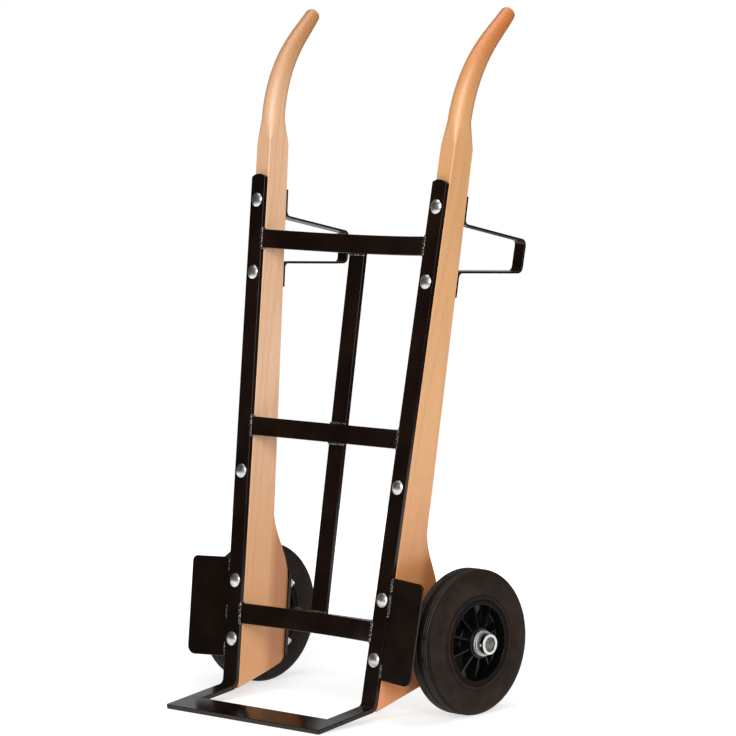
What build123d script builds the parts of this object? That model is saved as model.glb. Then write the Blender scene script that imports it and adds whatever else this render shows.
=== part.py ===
from build123d import *
import os
from math import asin, atan2, cos, degrees, hypot, radians, sin, sqrt, tan

os.makedirs("parts", exist_ok=True)

# Stance: backward lean of the frame, outward lean of each stile, half spacing of the stiles at the floor
lean = 9.2
splay = 3.15
heel_half = 163.4

# Flat iron bar, and the wider one of the bottom crossbar and the centre bar
bar_width = 32.0
wide_bar_width = 35.0
bar_thickness = 8.0
bar_edge = 1.0

# Stiles: distances run up the stile from the floor
stile_top = 909.0
stile_dome = 5.0
stile_corner = 4.0
heel_height = 25.8
heel_bend = 10.0

# Toe: the load plate's front bar and its reach from the heel
toe_length = 135.0
toe_bar_depth = 54.0
toe_corner = 3.0

# Crossbars: lower edges, backward bow and setting behind the stile fronts
top_bar_level = 780.0
middle_bar_level = 456.0
bottom_bar_level = 131.6
crossbar_bow_radius = 575.0
crossbar_recess = 1.0
centre_bar_margin = 6.0

# Wheel guards welded to the outer edges of the stiles
guard_bottom = 73.0
guard_top = 244.0
guard_width = 81.0
guard_thickness = 4.0
guard_flare = 9.0
guard_upper_corner = 10.0
guard_lower_corner = 15.0

# Wooden shafts: levels run up the stile, depths run back from the wood's front face
shaft_thickness = 32.0
shaft_edge = 2.2
shaft_foot = 19.0
shaft_foot_slope = 24.6
shoulder_level = 966.0
shoulder_depth = 46.5
flare_top = 334.0
flare_depth = 63.0
flare_bottom = 205.0
flare_ease = 52.0
belly_depth = 110.5
belly_corner = 18.0
belly_bevel_start = 70.0
belly_bevel = 5.0

# Handles: oval grips that bend backward above the shafts
grip_start = 1008.0
grip_offset = 20.5
grip_root_width = 31.8
grip_root_depth = 42.5
grip_tip_width = 25.0
grip_tip_depth = 25.0
grip_taper = 1.4
grip_bend_radius = 250.0
grip_bend = 35.8
grip_straight = 67.5
grip_tip_round = 10.5
grip_roundness = 0.49
grip_sections = 5

# Rest legs: bent strips behind the shafts, on washers that hold them clear of the wood
rest_width = 23.0
rest_thickness = 4.0
rest_reach = 224.0
rest_foot_top = 888.0
rest_upper_arm = 841.0
rest_upper_corner = 830.0
rest_lower_corner = 776.0
rest_lower_arm = 761.0
rest_foot_bottom = 718.0
rest_bend_radius = 10.0
rest_washer_diameter = 20.0
rest_washer_thickness = 4.0

# Coach bolts, nuts and washers
bolt_diameter = 10.0
bolt_clearance = 0.3
bolt_head_diameter = 24.0
bolt_head_height = 5.0
bolt_head_edge = 0.8
bolt_neck_depth = 6.0
axle_bolt_end = 16.0
middle_bolt_end = 1.0
upper_rest_bolt_level = 863.3
lower_rest_bolt_level = 737.7
middle_bolt_level = 393.2
upper_axle_bolt_level = 204.4
lower_axle_bolt_level = 103.9
nut_across_flats = 17.0
nut_height = 8.0
washer_diameter = 24.0
washer_thickness = 2.0
nut_pocket_diameter = 28.0
nut_pocket_depth = 13.0

# Axle, its brackets and what it carries
axle_diameter = 25.0
axle_fit = 0.1
axle_end_recess = 2.0
axle_chamfer = 1.0
bracket_bottom = 80.0
bracket_top = 226.0
bracket_width = 28.0
bracket_thickness = 6.0
boss_diameter = 34.0
boss_length = 56.0
saddle_width = 22.0
spacer_length = 6.88
wheel_washer_diameter = 43.0
wheel_washer_thickness = 4.0
outer_washer_count = 2
end_play = 0.4
collar_diameter = 35.0
collar_length = 12.0
pin_diameter = 5.0
pin_overhang = 2.5
pin_fit = 0.1
pin_tilt = 0.0

# Wheels
wheel_radius = 123.0
tyre_width = 47.0
tyre_shoulder = 11.0
tyre_seat_radius = 69.0
tyre_seat_width = 40.0
tyre_bead_radius = 73.0
tread_groove_width = 1.4
tread_groove_depth = 1.4
tread_groove_start = 7.0
tread_groove_pitch = 4.0
tread_groove_count = 3
side_ring_radius = 75.0
side_ring_width = 3.0
side_ring_height = 1.0
side_groove_radius = 79.5
side_groove_width = 3.0
side_groove_depth = 0.8
rim_wall = 5.0
rim_lip_radius = 72.4
rim_lip_width = 3.0
hub_diameter = 52.0
hub_length = 54.0
web_thickness = 6.0
rib_count = 10
rib_thickness = 3.0
rib_hub_reach = 23.0
rib_rim_reach = 12.0
bush_diameter = 32.0
bush_running_fit = 0.05
seat_fit = 0.05

sides = {"left": -1, "right": 1}
lean_cos, lean_sin = cos(radians(lean)), sin(radians(lean))
splay_cos, splay_tan = cos(radians(splay)), tan(radians(splay))

# Wood depths counted from the front faces of the stiles, and the slope of the straight backs
back_slope = (flare_depth - shoulder_depth) / (shoulder_level - flare_top)
belly_back = bar_thickness + belly_depth
grip_centre = bar_thickness + grip_offset


def wood_back(level):
    """Depth of the straight back of a shaft at a level, counted from the stile's front face."""
    return bar_thickness + shoulder_depth + (shoulder_level - level) * back_slope


def bend_centre(before, corner, after, radius):
    """Centre of the round that joins the two straight runs meeting at a corner."""
    towards_before = (Vector(*before) - Vector(*corner)).normalized()
    towards_after = (Vector(*after) - Vector(*corner)).normalized()
    half_angle = radians(towards_before.get_angle(towards_after)) / 2
    return Vector(*corner) + (towards_before + towards_after).normalized() * (radius / sin(half_angle))


# Rest leg middle line as depth and level pairs
rest_middle = rest_thickness / 2
rest_stand = (rest_washer_thickness + rest_middle) * hypot(1, back_slope)
rest_route = (
    (wood_back(rest_foot_top) + rest_stand, rest_foot_top),
    (wood_back(rest_upper_arm) + rest_stand, rest_upper_arm),
    (rest_reach - rest_middle, rest_upper_corner),
    (rest_reach - rest_middle, rest_lower_corner),
    (wood_back(rest_lower_arm) + rest_stand, rest_lower_arm),
    (wood_back(rest_foot_bottom) + rest_stand, rest_foot_bottom),
)

# Toe slope that brings the front bar's lower edge down to the floor
heel_rise = heel_height * lean_cos
toe_slope = degrees(asin(heel_rise / hypot(toe_length, bar_thickness)) - atan2(bar_thickness, toe_length))
heel_turn = 90 - lean - toe_slope
heel_tangent = heel_bend * tan(radians(heel_turn / 2))
heel_bend_level = heel_height + heel_tangent

# Place of the frame that puts the origin under the middle of the whole truck
rest_bend = bend_centre(*rest_route[1:4], rest_bend_radius)
back_extent = rest_bend.Y * splay_cos * lean_sin + rest_bend.X * lean_cos + rest_bend_radius + rest_middle
front_extent = heel_height * lean_sin - toe_length * cos(radians(toe_slope))
frame_back = -(front_extent + back_extent) / 2

# Frame plane: x across the truck, y up the stiles, z out of the front
frame = Plane(origin=(0, frame_back, 0), x_dir=(1, 0, 0), z_dir=(0, -lean_cos, lean_sin))


def stile_plane(side, depth=0.0):
    """Front plane of a stile: x across it, y up it, z out of the front."""
    return Plane(frame.location * Pos(side * heel_half, 0, -depth) * Rot(0, 0, -side * splay))


def side_plane(side):
    """Middle plane of a shaft seen from its +X side: x is depth, y runs up the stile."""
    face = stile_plane(side)
    return Plane(face.origin, x_dir=-face.z_dir, z_dir=face.x_dir)


def level_plane(level):
    """Plane square to the frame at a level: x across the truck, y is depth, z up the stiles."""
    return Plane(frame.from_local_coords((0, level, 0)), x_dir=(1, 0, 0), z_dir=frame.y_dir)


def bolt_places(levels, depth=0.0):
    """Places on both stiles at the given levels, with z out of the front."""
    faces = [stile_plane(side, depth).location for side in sides.values()]
    return [face * Pos(0, level, 0) for face in faces for level in levels]


def write(piece, label):
    """Name a finished piece and save it."""
    piece.part.label = label
    export_step(piece.part, f"parts/{label}.step")


# Axle place: the belly, the bracket and the boss set its depth, the wheel sets its height
axle_depth = belly_back + bracket_thickness + boss_diameter / 2
axle_level = (wheel_radius + axle_depth * lean_sin) / lean_cos
axle_back = frame_back + axle_level * lean_sin + axle_depth * lean_cos
axle_radius = axle_diameter / 2
axle_line = Axis((0, axle_back, wheel_radius), (1, 0, 0))
bolt_hole = bolt_diameter + 2 * bolt_clearance
rest_bolt_levels = (upper_rest_bolt_level, lower_rest_bolt_level)
axle_bolt_levels = (upper_axle_bolt_level, lower_axle_bolt_level)
bolt_levels = (*rest_bolt_levels, middle_bolt_level, *axle_bolt_levels)
shaft_half_at_axle = heel_half + axle_level * splay_tan


def axle_plane(x):
    """Plane square to the axle at a place along it, with z towards +X and y up."""
    return Plane((x, axle_back, wheel_radius), x_dir=(0, 1, 0), z_dir=(1, 0, 0))


def radial_plane(x):
    """Upright plane through the axle: x along the axle from a place on it, y away from it."""
    return Plane((x, axle_back, wheel_radius), x_dir=(1, 0, 0), z_dir=(0, -1, 0))


# Stations along the axle on the +X side, from the boss out to the end
boss_start = shaft_half_at_axle - shaft_thickness / 2
boss_end = boss_start + boss_length
inner_washer_start = boss_end + spacer_length + 2 * axle_fit
hub_inner = inner_washer_start + wheel_washer_thickness + end_play
hub_outer = hub_inner + hub_length
wheel_half_track = (hub_inner + hub_outer) / 2
collar_start = hub_outer + end_play + outer_washer_count * (wheel_washer_thickness + axle_fit)
axle_half_length = collar_start + collar_length - axle_end_recess


# Stiles: flat bars bent forward at the heel into the arms of the toe
arm_length = toe_length - toe_bar_depth - heel_tangent
bend_axis = Axis(frame.from_local_coords((0, heel_bend_level, heel_bend)), (-1, 0, 0))
foot_middle = heel_bend_level / splay_cos
foot_skew = splay_tan * bar_width / 2
for word, side in sides.items():
    with BuildPart() as stile:
        with BuildSketch(stile_plane(side)) as strip:
            with BuildLine():
                outline = Polyline(
                    (-bar_width / 2, stile_top - stile_dome),
                    (-bar_width / 2, foot_middle - side * foot_skew),
                    (bar_width / 2, foot_middle + side * foot_skew),
                    (bar_width / 2, stile_top - stile_dome),
                )
                ThreePointArc(outline @ 1, (0, stile_top), outline @ 0)
            make_face()
            fillet(strip.vertices().sort_by(Axis.Y)[-2:], stile_corner)
            with Locations(*[(0, level) for level in bolt_levels]):
                Rectangle(bolt_hole, bolt_hole, mode=Mode.SUBTRACT)
        extrude(amount=-bar_thickness)
        long_edges = stile.edges().filter_by(lambda edge: edge.length > bar_width)
        fillet(long_edges - stile.faces().sort_by(Axis.Z)[0].edges(), bar_edge)
        revolve(stile.faces().sort_by(Axis.Z)[0], axis=bend_axis, revolution_arc=heel_turn)
        extrude(stile.faces().sort_by(Axis.Y)[0], amount=arm_length)
    write(stile, f"stile_{word}")

# Toe bar: the wide front bar that the arms are welded to, as wide as the arms stand apart
arm_outer = heel_half + heel_bend_level * splay_tan + bar_width / 2 / splay_cos
toe_plane = Plane(
    frame.from_local_coords((0, heel_height, 0)),
    x_dir=(1, 0, 0),
    z_dir=(0, -sin(radians(toe_slope)), cos(radians(toe_slope))),
)
with BuildPart() as toe_bar:
    with BuildSketch(toe_plane):
        with Locations((0, toe_bar_depth / 2 - toe_length)):
            RectangleRounded(2 * arm_outer, toe_bar_depth, toe_corner)
    extrude(amount=-bar_thickness)
    fillet(toe_bar.edges(), bar_edge)
write(toe_bar, "toe_bar")


# Crossbars: flat bars bowed backward between the inner edges of the stiles
def inner_half(level):
    """Half the gap between the stiles at a level."""
    return heel_half + level * splay_tan - bar_width / 2 / splay_cos


def bow_depth(level, width):
    """Depth of a crossbar's front face at the centre plane, from its lower edge's level and its width."""
    half_gap = inner_half(level + width / 2)
    return crossbar_recess + crossbar_bow_radius - sqrt(crossbar_bow_radius**2 - half_gap**2)


def bow_half_arc(level, width):
    """Half the angle that a crossbar turns through from one stile's outer edge to the other's."""
    return degrees(asin((inner_half(level + width) + bar_width) / crossbar_bow_radius))


crossbars = {
    "top": (top_bar_level, bar_width),
    "middle": (middle_bar_level, bar_width),
    "bottom": (bottom_bar_level, wide_bar_width),
}
for word, (level, width) in crossbars.items():
    bow_place = level_plane(level).location * Pos(0, bow_depth(level, width) - crossbar_bow_radius, 0)
    half_arc = bow_half_arc(level, width)
    bow_start = bow_place * Rot(0, 0, 90 - half_arc) * Rot(90, 0, 0)
    with BuildPart() as crossbar:
        with BuildSketch(Plane(bow_start)) as bar_section:
            with Locations((crossbar_bow_radius + bar_thickness / 2, width / 2)):
                Rectangle(bar_thickness, width)
            chamfer(bar_section.vertices(), bar_edge)
        revolve(axis=Axis(bow_place.position, frame.y_dir), revolution_arc=2 * half_arc)
        for side in sides.values():
            inner_edge = stile_plane(side).location * Pos(-side * bar_width / 2, 0, 0)
            split(bisect_by=Plane(inner_edge * Rot(0, side * 90, 0)), keep=Keep.BOTTOM)
    write(crossbar, f"crossbar_{word}")

# Centre bar: straight, welded to the backs of the crossbars
centre_bar_low = Vector(0, bottom_bar_level, -bow_depth(*crossbars["bottom"]) - bar_thickness)
centre_bar_high = Vector(0, top_bar_level, -bow_depth(*crossbars["top"]) - bar_thickness)
centre_bar_start = frame.from_local_coords(centre_bar_low)
centre_bar_run = frame.from_local_coords(centre_bar_high) - centre_bar_start
centre_bar_plane = Plane(centre_bar_start, x_dir=(1, 0, 0), z_dir=Vector(1, 0, 0).cross(centre_bar_run))
centre_bar_length = centre_bar_run.length + bar_width - 2 * centre_bar_margin
with BuildPart() as centre_bar:
    with BuildSketch(centre_bar_plane):
        with Locations((0, centre_bar_margin + centre_bar_length / 2)):
            Rectangle(wide_bar_width, centre_bar_length)
    extrude(amount=-bar_thickness)
    fillet(centre_bar.edges(), bar_edge)
write(centre_bar, "centre_bar")

# Wheel guards: plates on the stiles' outer edges, flared forward in front of the wheels
guard_height = guard_top - guard_bottom
guard_gap = guard_thickness / 2 * sin(radians(guard_flare))
for word, side in sides.items():
    guard_edge = Pos(side * (bar_width / 2 + guard_gap), guard_bottom, -bar_thickness / 2)
    guard_plane = Plane(stile_plane(side).location * guard_edge * Rot(0, -side * guard_flare, 0))
    with BuildPart() as guard:
        with BuildSketch(guard_plane) as plate:
            with Locations((side * guard_width / 2, guard_height / 2)):
                Rectangle(guard_width, guard_height)
            outward = Axis((0, 0, 0), (side, 0, 0))
            fillet(plate.vertices().group_by(Axis.Y)[-1].sort_by(outward)[-1], guard_upper_corner)
            fillet(plate.vertices().group_by(Axis.Y)[0].sort_by(outward)[-1], guard_lower_corner)
        extrude(amount=guard_thickness / 2, both=True)
        fillet(guard.edges(), bar_edge)
    write(guard, f"wheel_guard_{word}")


# Wooden shafts with their bellies, and the handles above them
def grip_plane(side, angle, further=0.0):
    """Plane square to the grip after a part of its bend, or further along the straight end."""
    bend = radians(angle)
    depth = grip_centre + grip_bend_radius * (1 - cos(bend)) + further * sin(bend)
    level = grip_start + grip_bend_radius * sin(bend) + further * cos(bend)
    base = side_plane(side)
    along = base.x_dir * sin(bend) + base.y_dir * cos(bend)
    return Plane(base.from_local_coords((depth, level, 0)), x_dir=base.z_dir, z_dir=along)


def grip_size(share):
    """Width, depth and corner radius of the grip at a share of its length."""
    narrowed = share**grip_taper
    width = grip_root_width + narrowed * (grip_tip_width - grip_root_width)
    depth = grip_root_depth + narrowed * (grip_tip_depth - grip_root_depth)
    return width, depth, grip_roundness * min(width, depth)


grip_bend_length = grip_bend_radius * radians(grip_bend)
grip_length = grip_bend_length + grip_straight
grip_steps = [step / (grip_sections - 1) for step in range(grip_sections)]
grip_stations = [(step * grip_bend, 0.0, step * grip_bend_length / grip_length) for step in grip_steps]
grip_stations.append((grip_bend, grip_straight, 1.0))
belly_foot = shaft_foot + belly_depth * tan(radians(shaft_foot_slope))
middle_nut_seat = wood_back(middle_bolt_level) - nut_pocket_depth
wood_drill_depth = belly_back + belly_corner
for word, side in sides.items():
    with BuildPart() as shaft:
        with BuildSketch(side_plane(side)) as outline:
            with BuildLine():
                front = Line((bar_thickness, shaft_foot), (bar_thickness, shoulder_level))
                shoulder = Line(front @ 1, (bar_thickness + shoulder_depth, shoulder_level))
                back = Line(shoulder @ 1, (bar_thickness + flare_depth, flare_top))
                flare = Bezier(
                    back @ 1,
                    (bar_thickness + flare_depth + back_slope * flare_ease, flare_top - flare_ease),
                    (belly_back, flare_bottom + flare_ease),
                    (belly_back, flare_bottom),
                )
                belly = Line(flare @ 1, (belly_back, belly_foot))
                Line(belly @ 1, front @ 0)
            make_face()
            fillet(outline.vertices().group_by(Axis.X)[-1].sort_by(Axis.Y)[0], belly_corner)
        extrude(amount=shaft_thickness / 2, both=True)
        top_face = shaft.faces().sort_by(Axis.Z)[-1]
        flat_sides = shaft.faces().filter_by(side_plane(side))
        fillet(flat_sides.edges() - top_face.edges(), shaft_edge)
        with BuildSketch(level_plane(0).location * Pos(side * heel_half, 0, 0) * Rot(0, side * splay, 0)):
            with BuildLine():
                Polyline(
                    (-side * shaft_thickness / 2, bar_thickness + belly_bevel_start),
                    (-side * (shaft_thickness / 2 - belly_bevel), belly_back),
                    (-side * shaft_thickness, belly_back + belly_bevel),
                    close=True,
                )
            make_face()
        extrude(amount=flare_top, mode=Mode.SUBTRACT)
        with BuildSketch(stile_plane(side)):
            with Locations(*[(0, level) for level in bolt_levels]):
                Circle(bolt_hole / 2)
        extrude(amount=-wood_drill_depth, mode=Mode.SUBTRACT)
        with BuildSketch(stile_plane(side, middle_nut_seat)):
            with Locations((0, middle_bolt_level)):
                Circle(nut_pocket_diameter / 2)
        extrude(amount=-wood_drill_depth, mode=Mode.SUBTRACT)
        grip_faces = []
        for turned, further, share in grip_stations:
            with BuildSketch(grip_plane(side, turned, further), mode=Mode.PRIVATE) as section:
                RectangleRounded(*grip_size(share))
            grip_faces.append(section.sketch.face())
        loft([shaft.faces().sort_by(Axis.Z)[-1], grip_faces[0]], ruled=True)
        loft(grip_faces)
        fillet(shaft.faces().sort_by(Axis.Z)[-1].edges(), grip_tip_round)
    write(shaft, f"shaft_{word}")

# Rest legs: strips bent out from the backs of the shafts, held by the upper bolts
rest_drill_depth = wood_back(rest_foot_bottom) + rest_washer_thickness + rest_bend_radius
for word, side in sides.items():
    leg_plane = side_plane(side)
    with BuildPart() as rest_leg:
        with BuildLine(leg_plane) as route:
            FilletPolyline(*rest_route, radius=rest_bend_radius)
        with BuildSketch(Plane(route.line @ 0, x_dir=leg_plane.z_dir, z_dir=route.line % 0)):
            Rectangle(rest_width, rest_thickness)
        sweep()
        fillet(rest_leg.edges(), bar_edge)
        with BuildSketch(stile_plane(side)):
            with Locations(*[(0, level) for level in rest_bolt_levels]):
                Circle(bolt_hole / 2)
        extrude(amount=-rest_drill_depth, mode=Mode.SUBTRACT)
    write(rest_leg, f"rest_leg_{word}")

# Washers between the backs of the shafts and the feet of the rest legs
with BuildPart() as rest_washers:
    for side in sides.values():
        back_face = side_plane(side)
        outward = back_face.x_dir + back_face.y_dir * back_slope
        for level in rest_bolt_levels:
            seat = back_face.from_local_coords((wood_back(level), level, 0))
            with BuildSketch(Plane(seat, x_dir=back_face.z_dir, z_dir=outward)):
                Circle(rest_washer_diameter / 2)
                Circle(bolt_hole / 2, mode=Mode.SUBTRACT)
            extrude(amount=rest_washer_thickness)
write(rest_washers, "rest_washers")

# Axle brackets: plates on the backs of the bellies, each with a welded boss for the axle
bracket_height = bracket_top - bracket_bottom
for word, side in sides.items():
    with BuildPart() as bracket:
        with BuildSketch(stile_plane(side, belly_back)):
            with Locations((0, bracket_bottom + bracket_height / 2)):
                Rectangle(bracket_width, bracket_height)
            with Locations(*[(0, level) for level in axle_bolt_levels]):
                Circle(bolt_hole / 2, mode=Mode.SUBTRACT)
        extrude(amount=-bracket_thickness)
        with BuildSketch(axle_plane(side * boss_start)):
            Circle(boss_diameter / 2)
        extrude(amount=side * boss_length)
        with BuildSketch(stile_plane(side, belly_back + bracket_thickness)):
            with Locations((0, axle_level / splay_cos)):
                Rectangle(bracket_width, saddle_width)
        extrude(amount=-boss_diameter / 2)
        with BuildSketch(axle_plane(0)):
            Circle(axle_radius + axle_fit)
        extrude(amount=axle_half_length, both=True, mode=Mode.SUBTRACT)
    write(bracket, f"axle_bracket_{word}")

# Axle: a solid bar across the truck, cross-drilled near its ends for the pins
pin_radius = pin_diameter / 2
pin_station = collar_start + collar_length / 2
pin_turn = (90 + pin_tilt, 0, 0)
pin_middles = [(side * pin_station, axle_back, wheel_radius) for side in sides.values()]
pin_places = [Location(middle, pin_turn) for middle in pin_middles]
with BuildPart() as axle:
    with BuildSketch(axle_plane(0)):
        Circle(axle_radius)
    extrude(amount=axle_half_length, both=True)
    chamfer(axle.edges().filter_by(GeomType.CIRCLE), axle_chamfer)
    with Locations(*pin_places):
        Cylinder(pin_radius + pin_fit, boss_diameter, mode=Mode.SUBTRACT)
write(axle, "axle")


# Rings that sit on the axle
def ring_group(starts, length, diameter):
    """Rings on both halves of the axle, each running outward from its station."""
    with BuildPart() as group:
        for side in sides.values():
            for start in starts:
                with BuildSketch(axle_plane(side * start)):
                    Circle(diameter / 2)
                    Circle(axle_radius + axle_fit, mode=Mode.SUBTRACT)
                extrude(amount=side * length)
    return group


washer_step = wheel_washer_thickness + axle_fit
outer_washer_starts = [hub_outer + end_play + place * washer_step for place in range(outer_washer_count)]
spacers = ring_group([boss_end + axle_fit], spacer_length, boss_diameter)
inner_washers = ring_group([inner_washer_start], wheel_washer_thickness, wheel_washer_diameter)
outer_washers = ring_group(outer_washer_starts, wheel_washer_thickness, wheel_washer_diameter)
write(spacers, "axle_spacers")
write(inner_washers, "inner_wheel_washers")
write(outer_washers, "outer_wheel_washers")

collars = ring_group([collar_start], collar_length, collar_diameter)
with BuildPart() as drilled_collars:
    add(collars.part)
    with Locations(*pin_places):
        Cylinder(pin_radius + pin_fit, 2 * collar_diameter, mode=Mode.SUBTRACT)
write(drilled_collars, "axle_collars")

with BuildPart() as pins:
    with Locations(*pin_places):
        Cylinder(pin_radius, collar_diameter + 2 * pin_overhang)
write(pins, "axle_pins")


# Coach bolts: domed heads on the stiles, square necks in the iron, round shanks through the wood
def coach_bolt(length):
    """One bolt with its head's underside at the origin and its shank running down."""
    with BuildPart() as bolt:
        with BuildSketch(Plane.XZ):
            with BuildLine():
                base = Line((0, 0), (bolt_head_diameter / 2, 0))
                edge = Line(base @ 1, (bolt_head_diameter / 2, bolt_head_edge))
                dome = TangentArc((0, bolt_head_height), edge @ 1, tangent=(1, 0))
                Line(dome @ 0, base @ 0)
            make_face()
        revolve(axis=Axis.Z)
        with BuildSketch(Plane.XY):
            Rectangle(bolt_diameter, bolt_diameter)
        extrude(amount=-bolt_neck_depth)
        with BuildSketch(Plane.XY):
            Circle(bolt_diameter / 2)
        extrude(amount=-length)
    return bolt.part


def bolt_group(levels, length):
    """The same bolt at these levels on both stiles."""
    one_bolt = coach_bolt(length)
    with BuildPart() as group:
        with Locations(*bolt_places(levels)):
            add(one_bolt)
    return group


rest_stack = rest_washer_thickness + rest_thickness
upper_rest_bolt_length = wood_back(upper_rest_bolt_level) + rest_stack
lower_rest_bolt_length = wood_back(lower_rest_bolt_level) + rest_stack
write(bolt_group([upper_rest_bolt_level], upper_rest_bolt_length), "upper_rest_bolts")
write(bolt_group([lower_rest_bolt_level], lower_rest_bolt_length), "lower_rest_bolts")
middle_bolt_length = middle_nut_seat + washer_thickness + nut_height + middle_bolt_end
write(bolt_group([middle_bolt_level], middle_bolt_length), "middle_bolts")
axle_bolt_length = belly_back + bracket_thickness + washer_thickness + axle_bolt_end
write(bolt_group(axle_bolt_levels, axle_bolt_length), "axle_bolts")


# Nuts and washers behind the wood and the brackets
def nut_group(levels, depth):
    """Nuts with their front faces at a depth behind the stiles."""
    with BuildPart() as group:
        for place in bolt_places(levels, depth):
            with BuildSketch(Plane(place)):
                RegularPolygon(nut_across_flats / 2, 6, major_radius=False)
                Circle(bolt_hole / 2, mode=Mode.SUBTRACT)
            extrude(amount=-nut_height)
    return group


def washer_group(levels, depth):
    """Washers with their front faces at a depth behind the stiles."""
    with BuildPart() as group:
        for place in bolt_places(levels, depth):
            with BuildSketch(Plane(place)):
                Circle(washer_diameter / 2)
                Circle(bolt_hole / 2, mode=Mode.SUBTRACT)
            extrude(amount=-washer_thickness)
    return group


bracket_back = belly_back + bracket_thickness
write(washer_group([middle_bolt_level], middle_nut_seat), "middle_bolt_washers")
write(nut_group([middle_bolt_level], middle_nut_seat + washer_thickness), "middle_bolt_nuts")
write(washer_group(axle_bolt_levels, bracket_back), "axle_bolt_washers")
write(nut_group(axle_bolt_levels, bracket_back + washer_thickness), "axle_bolt_nuts")

# Tyres: solid rubber with fine tread grooves, and a raised ring and a groove on each side
half_width = tyre_width / 2
seat_half = tyre_seat_width / 2
bead_height = tyre_bead_radius - tyre_seat_radius
groove_steps = range(tread_groove_count)
tread_groove_offsets = [tread_groove_start + step * tread_groove_pitch for step in groove_steps]
for word, side in sides.items():
    with BuildPart() as tyre:
        with BuildSketch(radial_plane(side * wheel_half_track)) as section:
            with Locations((0, (tyre_seat_radius + wheel_radius) / 2)):
                Rectangle(tyre_width, wheel_radius - tyre_seat_radius)
            fillet(section.vertices().group_by(Axis.Y)[-1], tyre_shoulder)
            with Locations((-half_width, tyre_seat_radius), (half_width, tyre_seat_radius)):
                Rectangle(tyre_width - tyre_seat_width, 2 * bead_height, mode=Mode.SUBTRACT)
            for place in tread_groove_offsets:
                with Locations((-place, wheel_radius), (place, wheel_radius)):
                    Rectangle(tread_groove_width, 2 * tread_groove_depth, mode=Mode.SUBTRACT)
            with Locations((-half_width, side_ring_radius), (half_width, side_ring_radius)):
                Rectangle(2 * side_ring_height, side_ring_width)
            with Locations((-half_width, side_groove_radius), (half_width, side_groove_radius)):
                Rectangle(2 * side_groove_depth, side_groove_width, mode=Mode.SUBTRACT)
        revolve(axis=axle_line)
    write(tyre, f"tyre_{word}")

# Wheel centres: moulded rim, web, hub and ribs in one piece
rim_seat = tyre_seat_radius - seat_fit
rim_inner = tyre_seat_radius - rim_wall
hub_bore = bush_diameter / 2 + seat_fit
hub_radius = hub_diameter / 2
lip_start = seat_half + seat_fit
for word, side in sides.items():
    wheel_middle = side * wheel_half_track
    with BuildPart() as centre:
        with BuildSketch(radial_plane(wheel_middle)):
            with Locations((0, (hub_bore + hub_radius) / 2)):
                Rectangle(hub_length, hub_radius - hub_bore)
            with Locations((0, (hub_radius + rim_inner) / 2)):
                Rectangle(web_thickness, rim_inner - hub_radius + rim_wall)
            with Locations((0, (rim_inner + rim_seat) / 2)):
                Rectangle(2 * (lip_start + rim_lip_width), rim_seat - rim_inner)
            for end in (-1, 1):
                with Locations((end * (lip_start + rim_lip_width / 2), (rim_inner + rim_lip_radius) / 2)):
                    Rectangle(rim_lip_width, rim_lip_radius - rim_inner)
        revolve(axis=axle_line)
        for spoke in range(rib_count):
            rib_turn = Rot(spoke * 360 / rib_count, 0, 0)
            with BuildSketch(Plane(radial_plane(wheel_middle).location * rib_turn)):
                with BuildLine():
                    Polyline(
                        (-rib_hub_reach, hub_radius - rib_thickness),
                        (rib_hub_reach, hub_radius - rib_thickness),
                        (rib_hub_reach, hub_radius),
                        (rib_rim_reach, rim_inner + rim_wall / 2),
                        (-rib_rim_reach, rim_inner + rim_wall / 2),
                        (-rib_hub_reach, hub_radius),
                        close=True,
                    )
                make_face()
            extrude(amount=rib_thickness / 2, both=True)
    write(centre, f"wheel_centre_{word}")

# Hub bushes: steel sleeves in the wheel centres that run on the axle
for word, side in sides.items():
    with BuildPart() as bush:
        with BuildSketch(axle_plane(side * hub_inner)):
            Circle(bush_diameter / 2)
            Circle(axle_radius + bush_running_fit, mode=Mode.SUBTRACT)
        extrude(amount=side * hub_length)
    write(bush, f"hub_bush_{word}")
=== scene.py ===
"""Dresses the wooden sack truck: its smooth pieces, weld beads and finishes, and the studio round it."""

import logging
import math
from contextlib import contextmanager
from dataclasses import dataclass, field
from enum import Enum
from typing import Any, Callable, Dict, Iterator, List, Sequence, Tuple, Union

import bmesh
import bpy
from mathutils import Matrix, Vector


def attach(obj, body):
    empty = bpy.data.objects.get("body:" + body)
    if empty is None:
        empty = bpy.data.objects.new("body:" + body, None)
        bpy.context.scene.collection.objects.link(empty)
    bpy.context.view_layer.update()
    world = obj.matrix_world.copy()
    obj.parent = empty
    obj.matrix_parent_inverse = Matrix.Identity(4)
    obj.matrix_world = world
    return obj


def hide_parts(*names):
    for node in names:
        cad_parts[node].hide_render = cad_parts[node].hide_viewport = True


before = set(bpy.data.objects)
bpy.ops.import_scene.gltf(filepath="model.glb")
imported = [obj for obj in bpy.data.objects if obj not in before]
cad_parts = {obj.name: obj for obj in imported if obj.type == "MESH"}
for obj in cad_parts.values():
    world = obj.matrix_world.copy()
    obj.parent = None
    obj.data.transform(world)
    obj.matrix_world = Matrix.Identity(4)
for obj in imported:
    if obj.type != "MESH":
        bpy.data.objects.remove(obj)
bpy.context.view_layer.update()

log = logging.getLogger("sack_truck")
Piece = bpy.types.Object
Material = bpy.types.Material
Point = Tuple[float, float]
Triple = Tuple[float, float, float]
Ring = Tuple[float, float, float, float]
Scale = Union[float, Triple]
Key = Union[str, int]
Value = Union[float, int, "Link"]

# White, and how close together points are merged, in metres
WHITE: Triple = (1.0, 1.0, 1.0)
MERGE: float = 2e-6


class Side(Enum):
    """The two halves of the truck, with the sign of their X."""

    LEFT = -1
    RIGHT = 1

    @property
    def word(self) -> str:
        """The side's name as it stands in the node names."""
        return self.name.lower()


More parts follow.
